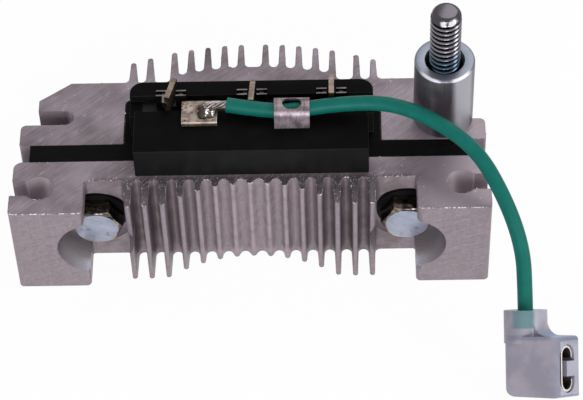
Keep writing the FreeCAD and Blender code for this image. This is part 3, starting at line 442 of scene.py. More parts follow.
@dataclass(frozen=True)
class SawnAluminium(Finish):
    """Saw-cut end of the extrusion: faint slanting scratches, with painted shade and painted glints over the fins.
    """

    dark: Triple = tint(100, 90, 96)
    light: Triple = tint(143, 131, 139)
    # The shade colour is painted shade over the fins; the glint colour is that of painted highlights.
    shade: Triple = tint(62, 57, 63)
    glint: Triple = tint(238, 231, 238)
    stain_and_shade: Triple = tint(78, 66, 62)
    stained_fin: float = -9.1
    scratch_angle: float = 38.0

    def paint(self, tree: ShaderTree) -> None:
        """Lays fine scratches over broad clouds, with painted glints that crowd on the fins.

        Args:
            tree: The empty tree.
        """
        x, y, _ = tree.axes()
        between = abs(x).ramp(33.6, 32.6)
        fins = y.ramp(-12.9, -14.4) * between
        strip = y.ramp(-12.7, -13.3) * y.ramp(-17.2, -15.4) * between
        cut = tree.streaks(self.scratch_angle, (0.12, 3.4, 0.3), 4, 0.6)
        fine = tree.streaks(self.scratch_angle + 9, (0.3, 9.0, 0.3), 3, 0.6)
        cloud = tree.noise(0.13)
        # Painted light: a little lighter towards the right end and darker over a band on the left.
        side = x.ramp(24.0, 42.0) * 0.24 - x.ramp(-22.0, -34.0) * y.ramp(-2.0, -5.0) * y.ramp(-9.2, -8.8) * 0.16
        tone = ((cut - 0.5) * 0.5 + (fine - 0.5) * 0.35 + (cloud - 0.5) * 0.8 + side + 0.5).ramp(0.20, 0.80)
        # Painted highlights: bright scratch lines, more of them on the strip in front of the housing.
        line = (fine.ramp(0.62, 0.70) * tree.noise(0.22, 2).ramp(0.48, 0.60)
                + strip * fine.ramp(0.58, 0.64) * cloud.ramp(0.40, 0.52))
        # Painted highlights: bright specks that crowd on the fins and on that strip.
        crowd = (tree.noise(0.9, 2) + fins * 0.12 + strip * 0.11).ramp(0.62, 0.68)
        painted_glint_speck = tree.cells(2.3).ramp(0.27, 0.12) * crowd
        brown = abs(x - self.stained_fin).ramp(2.2, 1.2) * y.ramp(15.5, 19.5)
        colour = tree.layers(self.dark, (tone, self.light), (fins * 0.7, self.shade), (brown * 0.6, self.stain_and_shade),
                             (painted_glint_speck * 0.8 + line * 0.4, self.glint))
        tree.relief(cut * 0.5 + fine * 0.5, 0.026, 0.7)
        tree.finish(colour, 0.60 - tone * 0.14, 0.5)


@dataclass(frozen=True)
class ExtrudedAluminium(Finish):
    """Drawn side of the extrusion: faint die lines, shallow scratches, painted shade darker and browner between the
    fins, and painted light on the middle front fins and in the channel's hole.
    """

    dark: Triple = tint(124, 112, 119)
    light: Triple = tint(159, 146, 154)
    # The pale colour is painted light on the middle front fins, the bright one painted light on the walls of the
    # channel's hole, and the brown one painted shade between the fins.
    pale: Triple = tint(178, 164, 170)
    bright: Triple = tint(208, 195, 202)
    stain_and_shade: Triple = tint(96, 84, 78)
    marks: tuple[Triple, ...] = ((-36.8, 3.1, 2.2), (-38.3, 21.6, 1.8))

    def paint(self, tree: ShaderTree) -> None:
        """Crosses upright streaks with slanting ones, draws two faint press rings and paints shade between the fins
        and light on the middle fins and in the channel.

        Args:
            tree: The empty tree.
        """
        x, y, z = tree.axes()
        wide = abs(x)
        streak = tree.streaks(0.0, (2.4, 2.4, 0.05), 4, 0.55)
        slant = tree.streaks(-22.0, (0.16, 1.2, 4.5), 4, 0.6, Axis.Y)
        grain = tree.noise(1.3, 3, 0.6)
        tone = ((streak - 0.5) * 0.18 + (slant - 0.5) * 0.5 + (grain - 0.5) * 0.45 + 0.5).ramp(0.2, 0.8)
        # Painted shade: darker and browner in the valleys between the front fins.
        valley = y.ramp(-19.5, -15.0) * y.ramp(-14.1, -14.2) * wide.ramp(9.0, 20.0) * wide.ramp(33.0, 30.0)
        valley_shade = valley * tree.noise(0.3, 2).ramp(0.35, 0.6)
        # Painted light: paler over the middle front fins.
        wear_and_painted_light = wide.ramp(17.0, 6.0) * y.ramp(-14.3, -14.5) * tree.noise(0.4, 2).ramp(0.3, 0.6)
        # Painted light on the walls of the channel's hole.
        channel = tree.away(wide, y, CHANNEL_AXIS).ramp(3.5, 3.2)
        colour = tree.layers(self.dark, (tone, self.light), (wear_and_painted_light * 0.5, self.pale),
                             (channel * 0.6, self.bright), (valley_shade * 0.5, self.stain_and_shade))
        for across, up, radius in self.marks:
            ring = abs(tree.away(x, z, (across, up)) - radius).ramp(0.28, 0.06) * y.ramp(-22.4, -22.6)
            colour = tree.layers(colour, (ring * 0.3, self.light))
        tree.relief(streak * 0.25 + slant * 0.75, 0.016, 0.5)
        tree.finish(colour, 0.50 - tone * 0.10, 0.45)


@dataclass(frozen=True)
class MilledAluminium(Finish):
    """Smooth wall that the spot-facing cutter leaves, with painted light brightening it towards its foot and a
    painted highlight along its rim.
    """

    dark: Triple = tint(122, 119, 126)
    light: Triple = tint(212, 206, 212)

    def paint(self, tree: ShaderTree) -> None:
        """Paints light in, brighter downwards, with the cutter's fine level rings and a painted highlight along the
        front rim.

        Args:
            tree: The empty tree.
        """
        _, y, z = tree.axes()
        ring = tree.streaks(0.0, (0.3, 5.0, 0.3), 3, 0.6)
        # Painted highlight along the front rim; the tone below adds painted light towards the foot.
        rim = y.ramp(-22.3, -22.65) * tree.noise(0.8).ramp(0.36, 0.56)
        tone = z.ramp(13.0, 6.0) * 0.8 + (ring - 0.5) * 0.5 + rim * 0.5
        tree.relief(ring, 0.01, 0.5)
        tree.finish(tree.layers(self.dark, (tone, self.light)), 0.36 - tone * 0.1, 0.6)


@dataclass(frozen=True)
class BurrAluminium(Finish):
    """Torn edge that the saw leaves, lit up with painted highlights in near-white patches."""

    dark: Triple = tint(120, 109, 116)
    light: Triple = tint(246, 240, 245)

    def paint(self, tree: ShaderTree) -> None:
        """Breaks the edge up with short patches of noise, painted near white as highlights.

        Args:
            tree: The empty tree.
        """
        # Painted highlights: the torn patches take the near-white colour.
        torn = tree.noise(1.5, 4, 0.7).ramp(0.46, 0.58)
        tree.relief(torn, 0.05, 0.8)
        tree.finish(tree.layers(self.dark, (torn, self.light)), 0.45 - torn * 0.15, 0.5)


@dataclass(frozen=True)
class BlackPlastic(Finish):
    """Moulded black plastic, dull satin, with a faint grain and dust."""

    name: str = "black_plastic"
    base: Triple = tint(15, 14, 15)
    # Colour of scuffs and dust; in the lighter edge copy it is part of a painted edge highlight.
    wear_and_painted_light: Triple = tint(34, 32, 34)
    dullness: float = 0.46
    gloss: float = 0.09

    def paint(self, tree: ShaderTree) -> None:
        """Mixes a fine grain with sparse pale scuffs and specks of dust.

        Args:
            tree: The empty tree.
        """
        grain = tree.noise(2.4, 4, 0.6)
        cloud = tree.noise(0.22).ramp(0.4, 0.75)
        scuff = tree.streaks(28.0, (0.3, 4.0, 1.0)).ramp(0.66, 0.76)
        dust = tree.cells(1.1).ramp(0.13, 0.05) * tree.noise(0.5, 1).ramp(0.55, 0.66)
        tree.relief(grain, 0.02, 0.6)
        tree.finish(tree.layers(self.base, (cloud * 0.3 + scuff * 0.4 + dust * 0.9, self.wear_and_painted_light)),
                    grain * 0.12 + self.dullness, gloss=self.gloss)


@dataclass(frozen=True)
class Resin(Finish):
    """Cast resin in the groove, uneven and a little glossy."""

    base: Triple = tint(14, 12, 12)
    film: Triple = tint(34, 29, 28)

    def paint(self, tree: ShaderTree) -> None:
        """Raises slow waves and small pits.

        Args:
            tree: The empty tree.
        """
        wave = tree.noise(0.5)
        tree.relief(wave * 0.8 + tree.cells(0.8).ramp(0.0, 0.35) * 0.2, 0.2, 0.6)
        tree.finish(tree.layers(self.base, (wave.ramp(0.45, 0.7), self.film)), wave * 0.25 + 0.3, gloss=0.12)


@dataclass(frozen=True)
class BarBoard(Finish):
    """Dark pressed board between the sinks."""

    base: Triple = tint(11, 10, 10)
    fibre: Triple = tint(25, 23, 23)

    def paint(self, tree: ShaderTree) -> None:
        """Lays fine level fibres over the dark base.

        Args:
            tree: The empty tree.
        """
        fibre = tree.streaks(0.0, (0.4, 5.0, 3.0), 4, 0.6)
        tree.relief(fibre, 0.04, 0.6)
        tree.finish(tree.layers(self.base, (fibre.ramp(0.45, 0.8), self.fibre)), fibre * 0.2 + 0.6, gloss=0.04)


@dataclass(frozen=True)
class BoltSteel(Finish):
    """Plated steel of a bolt's head, mottled with handling marks."""

    name: str = "bolt_end"
    dark: Triple = tint(142, 148, 165)
    light: Triple = tint(174, 180, 197)
    stain_and_shade: Triple = tint(112, 104, 104)
    spread: float = 0.45
    dullness: float = 0.30
    metal: float = 0.75

    def paint(self, tree: ShaderTree) -> None:
        """Mixes a soft cloud with thin slanting marks and a few brown stains.

        Args:
            tree: The empty tree.
        """
        cloud = tree.noise(0.32, 2)
        mark = tree.streaks(24.0, (0.3, 1.0, 2.6), about=Axis.Y)
        fine = tree.noise(3.5)
        tone = ((cloud - 0.5) * 1.6 * self.spread + (mark - 0.5) * 1.2 * self.spread + 0.5).ramp(0.15, 0.85)
        stained = tree.noise(0.55).ramp(0.60, 0.72)
        tree.relief(fine * 0.6 + mark * 0.4, 0.012, 0.6)
        tree.finish(tree.layers(self.dark, (tone, self.light), (stained * 0.6, self.stain_and_shade)),
                    fine * 0.08 + self.dullness, self.metal)


@dataclass(frozen=True)
class ThreadedSteel(Finish):
    """Rolled thread: pale crests over grooves painted near black as shade, bluish at its foot, with painted glints
    round its end.
    """

    crest: Triple = tint(136, 133, 140)
    # The near-black root colour is painted shade in the grooves; the glint colour is that of painted highlights on
    # the end's shoulder.
    root: Triple = tint(5, 5, 6)
    crest_foot: Triple = tint(80, 96, 114)
    tip: Triple = tint(74, 71, 76)
    glint: Triple = tint(236, 232, 238)
    glints: tuple[Triple, ...] = ((39.5, 55.3, 0.8), (41.2, 55.3, 0.95))
    root_radius: float = 2.78
    crest_radius: float = 3.16

    def paint(self, tree: ShaderTree) -> None:
        """Tells crests from grooves by their distance from the stud's axis, paints the grooves dark as shade and
        paints glints round the end.

        Args:
            tree: The empty tree.
        """
        x, y, z = tree.axes()
        fine = tree.noise(3.0)
        edge = (tree.away(x, y, STUD_AXIS) + (fine - 0.5) * 0.2).ramp(self.root_radius, self.crest_radius)
        crest = tree.layers(self.crest, (z.ramp(47.5, 43.0), self.crest_foot))
        colour = tree.layers(self.root, (edge, crest), (z.ramp(54.2, 54.7), self.tip))
        # Painted highlights on the shoulder of the end.
        for across, up, size in self.glints:
            shine = tree.away(x, z, (across, up)).ramp(size, size * 0.35) * y.ramp(1.6, 0.6) * z.ramp(56.28, 56.1)
            colour = tree.layers(colour, (shine, self.glint))
        tree.relief(fine, 0.01, 0.5)
        tree.finish(colour, fine * 0.12 + 0.12, 1.0)


@dataclass(frozen=True)
class CollarSteel(Finish):
    """Turned steel tube: fine rings, soft upright smears, one paler band that is a painted highlight and a painted
    highlight on the front rim.
    """

    dark: Triple = tint(86, 83, 90)
    light: Triple = tint(136, 133, 141)
    band: Triple = tint(176, 174, 182)
    deep: Triple = tint(60, 55, 63)
    end: Triple = tint(116, 120, 132)
    rim: Triple = tint(232, 230, 238)

    def paint(self, tree: ShaderTree) -> None:
        """Crosses level rings with upright smears, and by place paints the highlight band, a darker foot and the
        rim's highlight.

        Args:
            tree: The empty tree.
        """
        x, y, z = tree.axes()
        ring = tree.streaks(0.0, (0.25, 0.25, 5.0), 3, 0.6)
        smear = tree.streaks(0.0, (0.6, 0.6, 0.07), 3, 0.55)
        tone = (ring * 0.3 + smear * 0.5 + x.ramp(39.0, 35.0) * 0.2).ramp(0.30, 0.72)
        wander = x + (smear - 0.5) * 1.6
        # Painted highlight: a paler upright band.
        band = wander.ramp(41.0, 42.6) * wander.ramp(46.2, 45.0)
        deep = abs(wander - 39.8).ramp(2.2, 1.0) * z.ramp(41.2, 35.0)
        # Painted highlight along the front of the rim.
        rim = (tree.away(x, y, STUD_AXIS).ramp(5.55, 5.8) * z.ramp(41.35, 41.5) * y.ramp(-0.5, -2.5)
               * (abs(x - 40.0) + smear * 1.4).ramp(1.4, 2.6))
        colour = tree.layers(self.dark, (tone, self.light), (deep * 0.75, self.deep), (band * 0.85, self.band),
                             (z.ramp(41.55, 41.8), self.end), (rim * 0.8, self.rim))
        tree.relief(ring, 0.008, 0.5)
        tree.finish(colour, 0.40 - tone * 0.06, 0.75)


@dataclass(frozen=True)
class TinnedStrip(Finish):
    """Tinned strip, satin, with flux spots and light handling marks."""

    name: str = "tinned_strip"
    dark: Triple = tint(84, 74, 68)
    light: Triple = tint(150, 136, 126)
    spot: Triple = tint(66, 42, 28)
    spots: float = 0.3
    dullness: float = 0.32
    grain_turn: float = 6.0

    def paint(self, tree: ShaderTree) -> None:
        """Mixes rolled streaks and cloud, with round brown spots where the spot noise allows.

        Args:
            tree: The empty tree.
        """
        rolled = tree.streaks(self.grain_turn, (0.4, 3.2, 0.9), 4, 0.6)
        cloud = tree.noise(0.5)
        tone = (rolled * 0.45 + cloud * 0.55).ramp(0.34, 0.68)
        spot = tree.cells(0.85).ramp(0.32, 0.18) * tree.noise(0.6, 1).ramp(0.47, 0.56)
        tree.relief(rolled * 0.6 - spot * 0.6, 0.04, 0.7)
        tree.finish(tree.layers(self.dark, (tone, self.light), (spot * self.spots, self.spot)),
                    cloud * 0.2 + self.dullness, 0.8)


@dataclass(frozen=True)
class TabStrip(Finish):
    """Sense tab: satin tin with small brown dimples on its left and a darker ring round the solder."""

    dark: Triple = tint(100, 87, 80)
    light: Triple = tint(160, 146, 136)
    brown: Triple = tint(62, 44, 32)
    darker_ring: Triple = tint(56, 44, 38)

    def paint(self, tree: ShaderTree) -> None:
        """Mixes rolled streaks and cloud, dimples the left and darkens the metal in a ring near the solder.

        Args:
            tree: The empty tree.
        """
        x, y, _ = tree.axes()
        rolled = tree.streaks(6.0, (0.4, 2.6, 0.9), 4, 0.6)
        cloud = tree.noise(0.6)
        tone = (rolled * 0.45 + cloud * 0.55).ramp(0.36, 0.66)
        dimple = tree.cells(1.05).ramp(0.34, 0.20) * (x + cloud * 2.0).ramp(-10.2, -11.2)
        near_solder = (tree.away(x, y, SOLDER_CENTRE) + (cloud - 0.5) * 1.6).ramp(3.0, 2.0)
        tree.relief(rolled * 0.5 - dimple * 0.8, 0.06, 0.8)
        tree.finish(tree.layers(self.dark, (tone, self.light), (dimple * 0.85, self.brown),
                                (near_solder * 0.7, self.darker_ring)), cloud * 0.2 + 0.32, 0.8)


@dataclass(frozen=True)
class Solder(Finish):
    """Shrunk solder: dull dross with painted glints on a few swells."""

    bright: Triple = tint(228, 222, 225)
    dross: Triple = tint(72, 63, 58)

    def paint(self, tree: ShaderTree) -> None:
        """Wrinkles the skin and paints glints on only a few swells, fewer on the left.

        Args:
            tree: The empty tree.
        """
        x, y, _ = tree.axes()
        # Painted highlights: the bright colour shows on a few swells, fewer on the left.
        lean = (x + y * 0.6).ramp(-12.2, -9.6) * 0.10
        dull = (tree.noise(0.95, 2) + lean).ramp(0.64, 0.56)
        tree.relief(tree.noise(0.75, 3, 0.6), 0.55, 0.9)
        tree.finish(tree.layers(self.bright, (dull, self.dross)), dull * 0.28 + 0.12, 0.9)


@dataclass(frozen=True)
class Insulation(Finish):
    """Smooth green jacket of the lead."""

    base: Triple = tint(8, 98, 89)
    pale: Triple = tint(22, 116, 105)

    def paint(self, tree: ShaderTree) -> None:
        """Adds a faint mottle and hardly any relief.

        Args:
            tree: The empty tree.
        """
        mottle = tree.noise(0.45)
        fine = tree.noise(2.0)
        tree.relief(mottle * 0.5 + fine * 0.5, 0.02, 0.4)
        tree.finish(tree.layers(self.base, (mottle.ramp(0.35, 0.8) * 0.35, self.pale)), fine * 0.1 + 0.36,
                    gloss=0.14)


@dataclass(frozen=True)
class Nylon(Finish):
    """Grey-lilac moulded nylon through which the lead's end shows."""

    name: str = "nylon"
    base: Triple = tint(143, 139, 153)
    pale: Triple = tint(166, 160, 172)
    inside: Triple = tint(66, 120, 124)
    crease: Triple = tint(92, 104, 132)
    lead_middle: float = 54.7

    def paint(self, tree: ShaderTree) -> None:
        """Drifts softly, tints the tube round the lead's end and paints shade in the fold and along the mouth's
        edge.

        Args:
            tree: The empty tree.
        """
        x, y, z = tree.axes()
        along = (y - ENTRY[1]) * HEADING[1] + (z - ENTRY[2]) * HEADING[2]
        across = (x - ENTRY[0]) * MOUTH[0] + (y - ENTRY[1]) * MOUTH[1] + (z - ENTRY[2]) * MOUTH[2]
        drift = tree.noise(0.22, 2)
        fine = tree.noise(0.9)
        lead = along.ramp(3.8, 3.3) * abs(x - self.lead_middle).ramp(2.6, 1.7)
        # Painted shade: the bluish crease colour in the fold and along the mouth's edge.
        fold = abs(along - 5.3 + (drift - 0.5) * 0.8).ramp(0.9, 0.2) * x.ramp(51.0, 52.4) * x.ramp(60.5, 58.5)
        colour = tree.layers(self.base, (drift.ramp(0.35, 0.65) * 0.7, self.pale), (lead * 0.75, self.inside),
                             (fold * 0.5 + across.ramp(8.4, 10.8) * 0.4, self.crease))
        tree.relief(fine, 0.03, 0.5)
        tree.finish(colour, fine * 0.1 + 0.3, gloss=0.3)


@dataclass(frozen=True)
class DiodeMoulding(Finish):
    """Small moulded diode body and its dull tinned lead."""

    base: Triple = tint(34, 32, 34)
    lead: Triple = tint(96, 90, 90)

    def paint(self, tree: ShaderTree) -> None:
        """Shows the lead's metal above the groove's floor and the moulding below it.

        Args:
            tree: The empty tree.
        """
        _, _, z = tree.axes()
        grain = tree.noise(2.0)
        above = z.ramp(30.2, 30.5)
        tree.relief(grain, 0.03, 0.6)
        tree.finish(tree.layers(self.base, (above, self.lead)), grain * 0.2 + 0.3, above * 0.8)


# Copies for the head's flanks, picked by facing: the upper flanks painted dark and the other flanks painted tan, as
# painted reflections.
BOLT_TOP = BoltSteel("bolt_top_flank", tint(40, 38, 38), tint(156, 142, 130), tint(22, 20, 20), 1.0, 0.16, 1.0)
BOLT_SIDE = BoltSteel("bolt_side_flank", tint(112, 101, 97), tint(192, 176, 166), tint(60, 52, 48), 0.8, 0.16, 1.0)
# Clip copies picked by facing: the top painted darker as shade, the front face lighter.
CLIP_TOP_TIN = TinnedStrip("clip_top_tin", tint(84, 72, 74), tint(150, 136, 142), tint(60, 48, 44), 0.3, 0.26, 84.0)
CLIP_FACE_TIN = TinnedStrip("clip_face_tin", tint(98, 86, 94), tint(160, 147, 155), tint(76, 66, 66), 0.25,
                            0.33, 84.0)
# Painted highlights on the rounded edges of the clip and the tab.
EDGE_TIN = TinnedStrip("edge_tin", tint(186, 178, 182), tint(236, 230, 234), tint(150, 138, 132), 0.1, 0.24)
# Blade copies picked by facing: sides painted dark as shade, upper edges lighter as painted highlight; crimp walls
# painted near black as shade, their upward rims paler as painted highlight.
BLADE_SIDE_TIN = TinnedStrip("blade_side_tin", tint(38, 32, 30), tint(74, 64, 58), tint(30, 22, 18), 0.4, 0.38)
BLADE_EDGE_TIN = TinnedStrip("blade_edge_tin", tint(86, 74, 67), tint(142, 126, 115), tint(62, 50, 42))
CRIMP_TIN = TinnedStrip("crimp_tin", tint(12, 11, 12), tint(26, 24, 24), tint(16, 12, 10), 0.2, 0.4)
CRIMP_RIM_TIN = TinnedStrip("crimp_rim_tin", tint(64, 58, 57), tint(128, 120, 118), tint(46, 40, 38), 0.3, 0.36)
# The contact's edges that look out of the mouth are painted near white as highlights.
CONTACT_TIN = TinnedStrip("contact_tin", tint(66, 56, 50), tint(110, 96, 88), tint(44, 34, 28))
CONTACT_EDGE_TIN = TinnedStrip("contact_edge_tin", tint(226, 208, 204), tint(250, 240, 238),
                               tint(190, 170, 160), 0.1, 0.3)
STRAND_TIN = TinnedStrip("strand_tin", tint(88, 78, 76), tint(198, 188, 188), tint(60, 44, 36), 0.3, 0.28)
# Darker, duller copy for the housing's upward faces: painted shade. Lighter copy for its rounded edges: painted edge
# highlight.
TOP_PLASTIC = BlackPlastic("black_plastic_top", tint(8, 7, 8), tint(22, 20, 21), 0.5, 0.03)
PLASTIC_EDGE_HIGHLIGHT = BlackPlastic("black_plastic_edge_highlight", tint(26, 24, 26), tint(52, 49, 52))
# Bluish copy for the rounded edges and end walls: painted edge sheen. Paler copy for the mouth face: painted light,
# with no painted shade along its edge.
NYLON_EDGE = Nylon("nylon_edge", tint(118, 136, 168), tint(150, 162, 188))
NYLON_MOUTH = Nylon("nylon_mouth", tint(160, 159, 172), tint(180, 177, 188), crease=tint(154, 157, 174))


def new_object(name: str, data: object) -> Piece:
    """Adds an object to the scene.

    Args:
        name: Name of the object.
        data: Its mesh, curve, lamp or camera.

    Returns:
        The object.
    """
    made = bpy.data.objects.new(name, data)
    bpy.context.scene.collection.objects.link(made)
    return made


def new_piece(name: str, mesh: Mesh, finishes: Sequence[Finish], slot: Slot, stands_for: Sequence[str]) -> Piece:
    """Puts a finished mesh into the scene as a piece of the object.

    Args:
        name: Name of the piece.
        mesh: Its mesh, in place.
        finishes: One finish for each material index of the mesh.
        slot: The record's material slot; not used.
        stands_for: CAD nodes that the piece replaces.

    Returns:
        The piece.
    """
    made = new_object(name, mesh)
    for finish in finishes:
        mesh.materials.append(finish.material())
    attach(made, BODY)
    if stands_for:
        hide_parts(*stands_for)
    LOG.info("%s: %d faces", name, len(mesh.polygons))
    return made


def dress(frame: dict, finish: Finish, *nodes: str) -> None:
    """Gives CAD nodes a finish.

    Args:
        frame: The loaded frame.
        finish: The finish.
        nodes: Names of the nodes.
    """
    for name in nodes:
        mesh = frame["nodes"][name].data
        mesh.materials.clear()
        mesh.materials.append(finish.material())
        LOG.info("%s: dressed", name)


def merged(frame: dict, node: str) -> Shape:
    """A CAD node's shape with its triangles joined and its flat faces whole.

    Args:
        frame: The loaded frame.
        node: Name of the node.

    Returns:
        The joined shape.
    """
    shape = bmesh.new()
    shape.from_mesh(frame["nodes"][node].data)
    bmesh.ops.remove_doubles(shape, verts=shape.verts, dist=MERGE_DISTANCE)
    bmesh.ops.dissolve_limit(shape, angle_limit=FLAT_ANGLE, verts=shape.verts, edges=shape.edges)
    return shape


def smooth_mesh(name: str, shape: Shape, sharp_degrees: float) -> Mesh:
    """Turns a shape into a mesh that is smooth apart from its sharp edges.

    Args:
        name: Name of the mesh.
        shape: The shape; it is freed.
        sharp_degrees: Angle from which an edge stays sharp.

    Returns:
        The mesh.
    """
    mesh = bpy.data.meshes.new(name)
    shape.to_mesh(mesh)
    shape.free()
    mesh.polygons.foreach_set("use_smooth", np.ones(len(mesh.polygons), dtype=bool))
    mesh.set_sharp_from_angle(angle=math.radians(sharp_degrees))
    return mesh


def softened(frame: dict, node: str, name: str, finishes: Sequence[Finish], slot: Slot, radius: float,
             pick: Callable[[Face], int] | None = None, edge: int = -1, steps: int = 2) -> Piece:
    """A CAD node remade with rounded edges.

    Args:
        frame: The loaded frame.
        node: Name of the node.
        name: Name of the new piece.
        finishes: Its finishes.
        slot: The record's material slot.
        radius: Width of the rounding, in millimetres.
        pick: Gives a face the number of its finish; without it all faces have the first.
        edge: Number of the roundings' finish, or -1 for that of the faces beside them.
        steps: Faces across each rounding.

    Returns:
        The piece.
    """
    shape = merged(frame, node)
    shape.normal_update()
    for face in shape.faces:
        face.material_index = pick(face) if pick else 0
    made = new_piece(name, smooth_mesh(name, shape, SHARP_DEGREES), finishes, slot, [node])
    bevel = made.modifiers.new("rounding", "BEVEL")
    bevel.limit_method = "ANGLE"
    bevel.angle_limit = math.radians(ROUNDED_DEGREES)
    bevel.width = radius * MM
    bevel.segments = steps
    bevel.material = edge
    bevel.harden_normals = True
    bevel.use_clamp_overlap = True
    return made


def grid_mesh(name: str, points: np.ndarray, capped: bool) -> Mesh:
    """Smooth mesh over a grid of points whose last column joins the first.

    Args:
        name: Name of the mesh.
        points: Rows by columns by 3, in metres, with the outside on the left of the rows.
        capped: True to close the first and last rows with fans to their centres.

    Returns:
        The mesh: quads (i, j), (i, j+1), (i+1, j+1), (i+1, j), and a triangle fan at each end.
    """
    rows, columns = points.shape[:2]
    corner = np.arange(rows * columns).reshape(rows, columns)
    right = np.roll(corner, -1, axis=1)
    faces = np.stack([corner[:-1], right[:-1], right[1:], corner[1:]], axis=-1).reshape(-1, 4).tolist()
    vertices = points.reshape(-1, 3)
    if capped:
        vertices = np.concatenate([vertices, [points[0].mean(axis=0), points[-1].mean(axis=0)]])
        low, high = rows * columns, rows * columns + 1
        faces += [[low, b, a] for a, b in zip(corner[0].tolist(), right[0].tolist())]
        faces += [[high, a, b] for a, b in zip(corner[-1].tolist(), right[-1].tolist())]
    mesh = bpy.data.meshes.new(name)
    mesh.from_pydata(vertices.tolist(), [], faces)
    mesh.polygons.foreach_set("use_smooth", np.ones(len(mesh.polygons), dtype=bool))
    mesh.update()
    return mesh


def joined(name: str, meshes: Sequence[Mesh], sharp_degrees: float | None = None) -> Mesh:
    """One mesh with the faces of several, which are removed.

    Args:
        name: Name of the mesh.
        meshes: The meshes to join.
        sharp_degrees: Angle from which an edge stays sharp once seams are closed; None leaves both.

    Returns:
        The joined mesh, its faces turned outwards.
    """
    shape = bmesh.new()
    for mesh in meshes:
        shape.from_mesh(mesh)
        bpy.data.meshes.remove(mesh)
    if sharp_degrees is not None:
        bmesh.ops.remove_doubles(shape, verts=shape.verts, dist=SEAM_DISTANCE)
    bmesh.ops.recalc_face_normals(shape, faces=shape.faces)
    if sharp_degrees is not None:
        return smooth_mesh(name, shape, sharp_degrees)
    whole = bpy.data.meshes.new(name)
    shape.to_mesh(whole)
    shape.free()
    return whole


def attribute(items: bpy.types.bpy_prop_collection, name: str, width: int = 1,
              kind: type = float) -> np.ndarray:
    """One attribute of every item of a mesh.

    Args:
        items: The mesh's vertices, loops, polygons or corner normals.
        name: Name of the attribute.
        width: Numbers in each item's value.
        kind: Type of the numbers.

    Returns:
        A flat array, or one row for each item where the width is over 1.
    """
    values = np.empty(len(items) * width, dtype=kind)
    items.foreach_get(name, values)
    return values.reshape(-1, width) if width > 1 else values


def nurbs_curve(name: str, points: np.ndarray) -> bpy.types.Curve:
    """An open NURBS curve.

    Args:
        name: Name of the curve.
        points: Control points, in metres.

    Returns:
        The curve.
    """
    curve = bpy.data.curves.new(name, "CURVE")
    curve.dimensions = "3D"
    spline = curve.splines.new("NURBS")
    spline.points.add(len(points) - 1)
    spline.points.foreach_set("co", np.column_stack([points, np.ones(len(points))]).ravel())
    spline.order_u = 3
    spline.use_endpoint_u = True
    spline.resolution_u = 16
    return curve


def centreline(points: np.ndarray) -> np.ndarray:
    """Points read from the smooth line through a route.

    Args:
        points: Control points, in metres.

    Returns:
        Points along the NURBS line, in metres.
    """
    curve = nurbs_curve("route", points)
    holder = new_object("route", curve)
    bpy.context.view_layer.update()
    line = bpy.data.meshes.new_from_object(holder)
    values = attribute(line.vertices, "co", 3)
    bpy.data.objects.remove(holder)
    bpy.data.meshes.remove(line)
    bpy.data.curves.remove(curve)
    return values


def twisted_tubes(path: np.ndarray, offset: float, radius: float, count: int, pitch: float,
                  sides: int = 10) -> list[np.ndarray]:
    """Wires that twist about a path.

    Args:
        path: Points of the path, in metres.
        offset: Distance of each wire from the path.
        radius: Radius of each wire.
        count: Number of wires.
        pitch: Length of one turn.
        sides: Corners round each wire.

    Returns:
        A grid for each wire: its centre is the path plus offset (cos p n + sin p b), where n and b
        stand square to the path and p grows by one turn in each pitch.
    """
    along = np.gradient(path, axis=0)
    along /= np.linalg.norm(along, axis=1, keepdims=True)
    step = np.linalg.norm(np.diff(path, axis=0), axis=1)
    run = np.concatenate([[0.0], np.cumsum(step)])
    side = np.cross(along, (0.0, 0.0, 1.0))
    side /= np.linalg.norm(side, axis=1, keepdims=True)
    rise = np.cross(side, along)
    turn = np.arange(sides) * (2 * np.pi / sides)
    ring = radius * (np.cos(turn)[None, :, None] * side[:, None] + np.sin(turn)[None, :, None] * rise[:, None])
    grids = []
    for index in range(count):
        phase = 2 * np.pi * (run / pitch + index / count)
        centre = path + offset * (np.cos(phase)[:, None] * side + np.sin(phase)[:, None] * rise)
        grids.append(centre[:, None] + ring)
    return grids


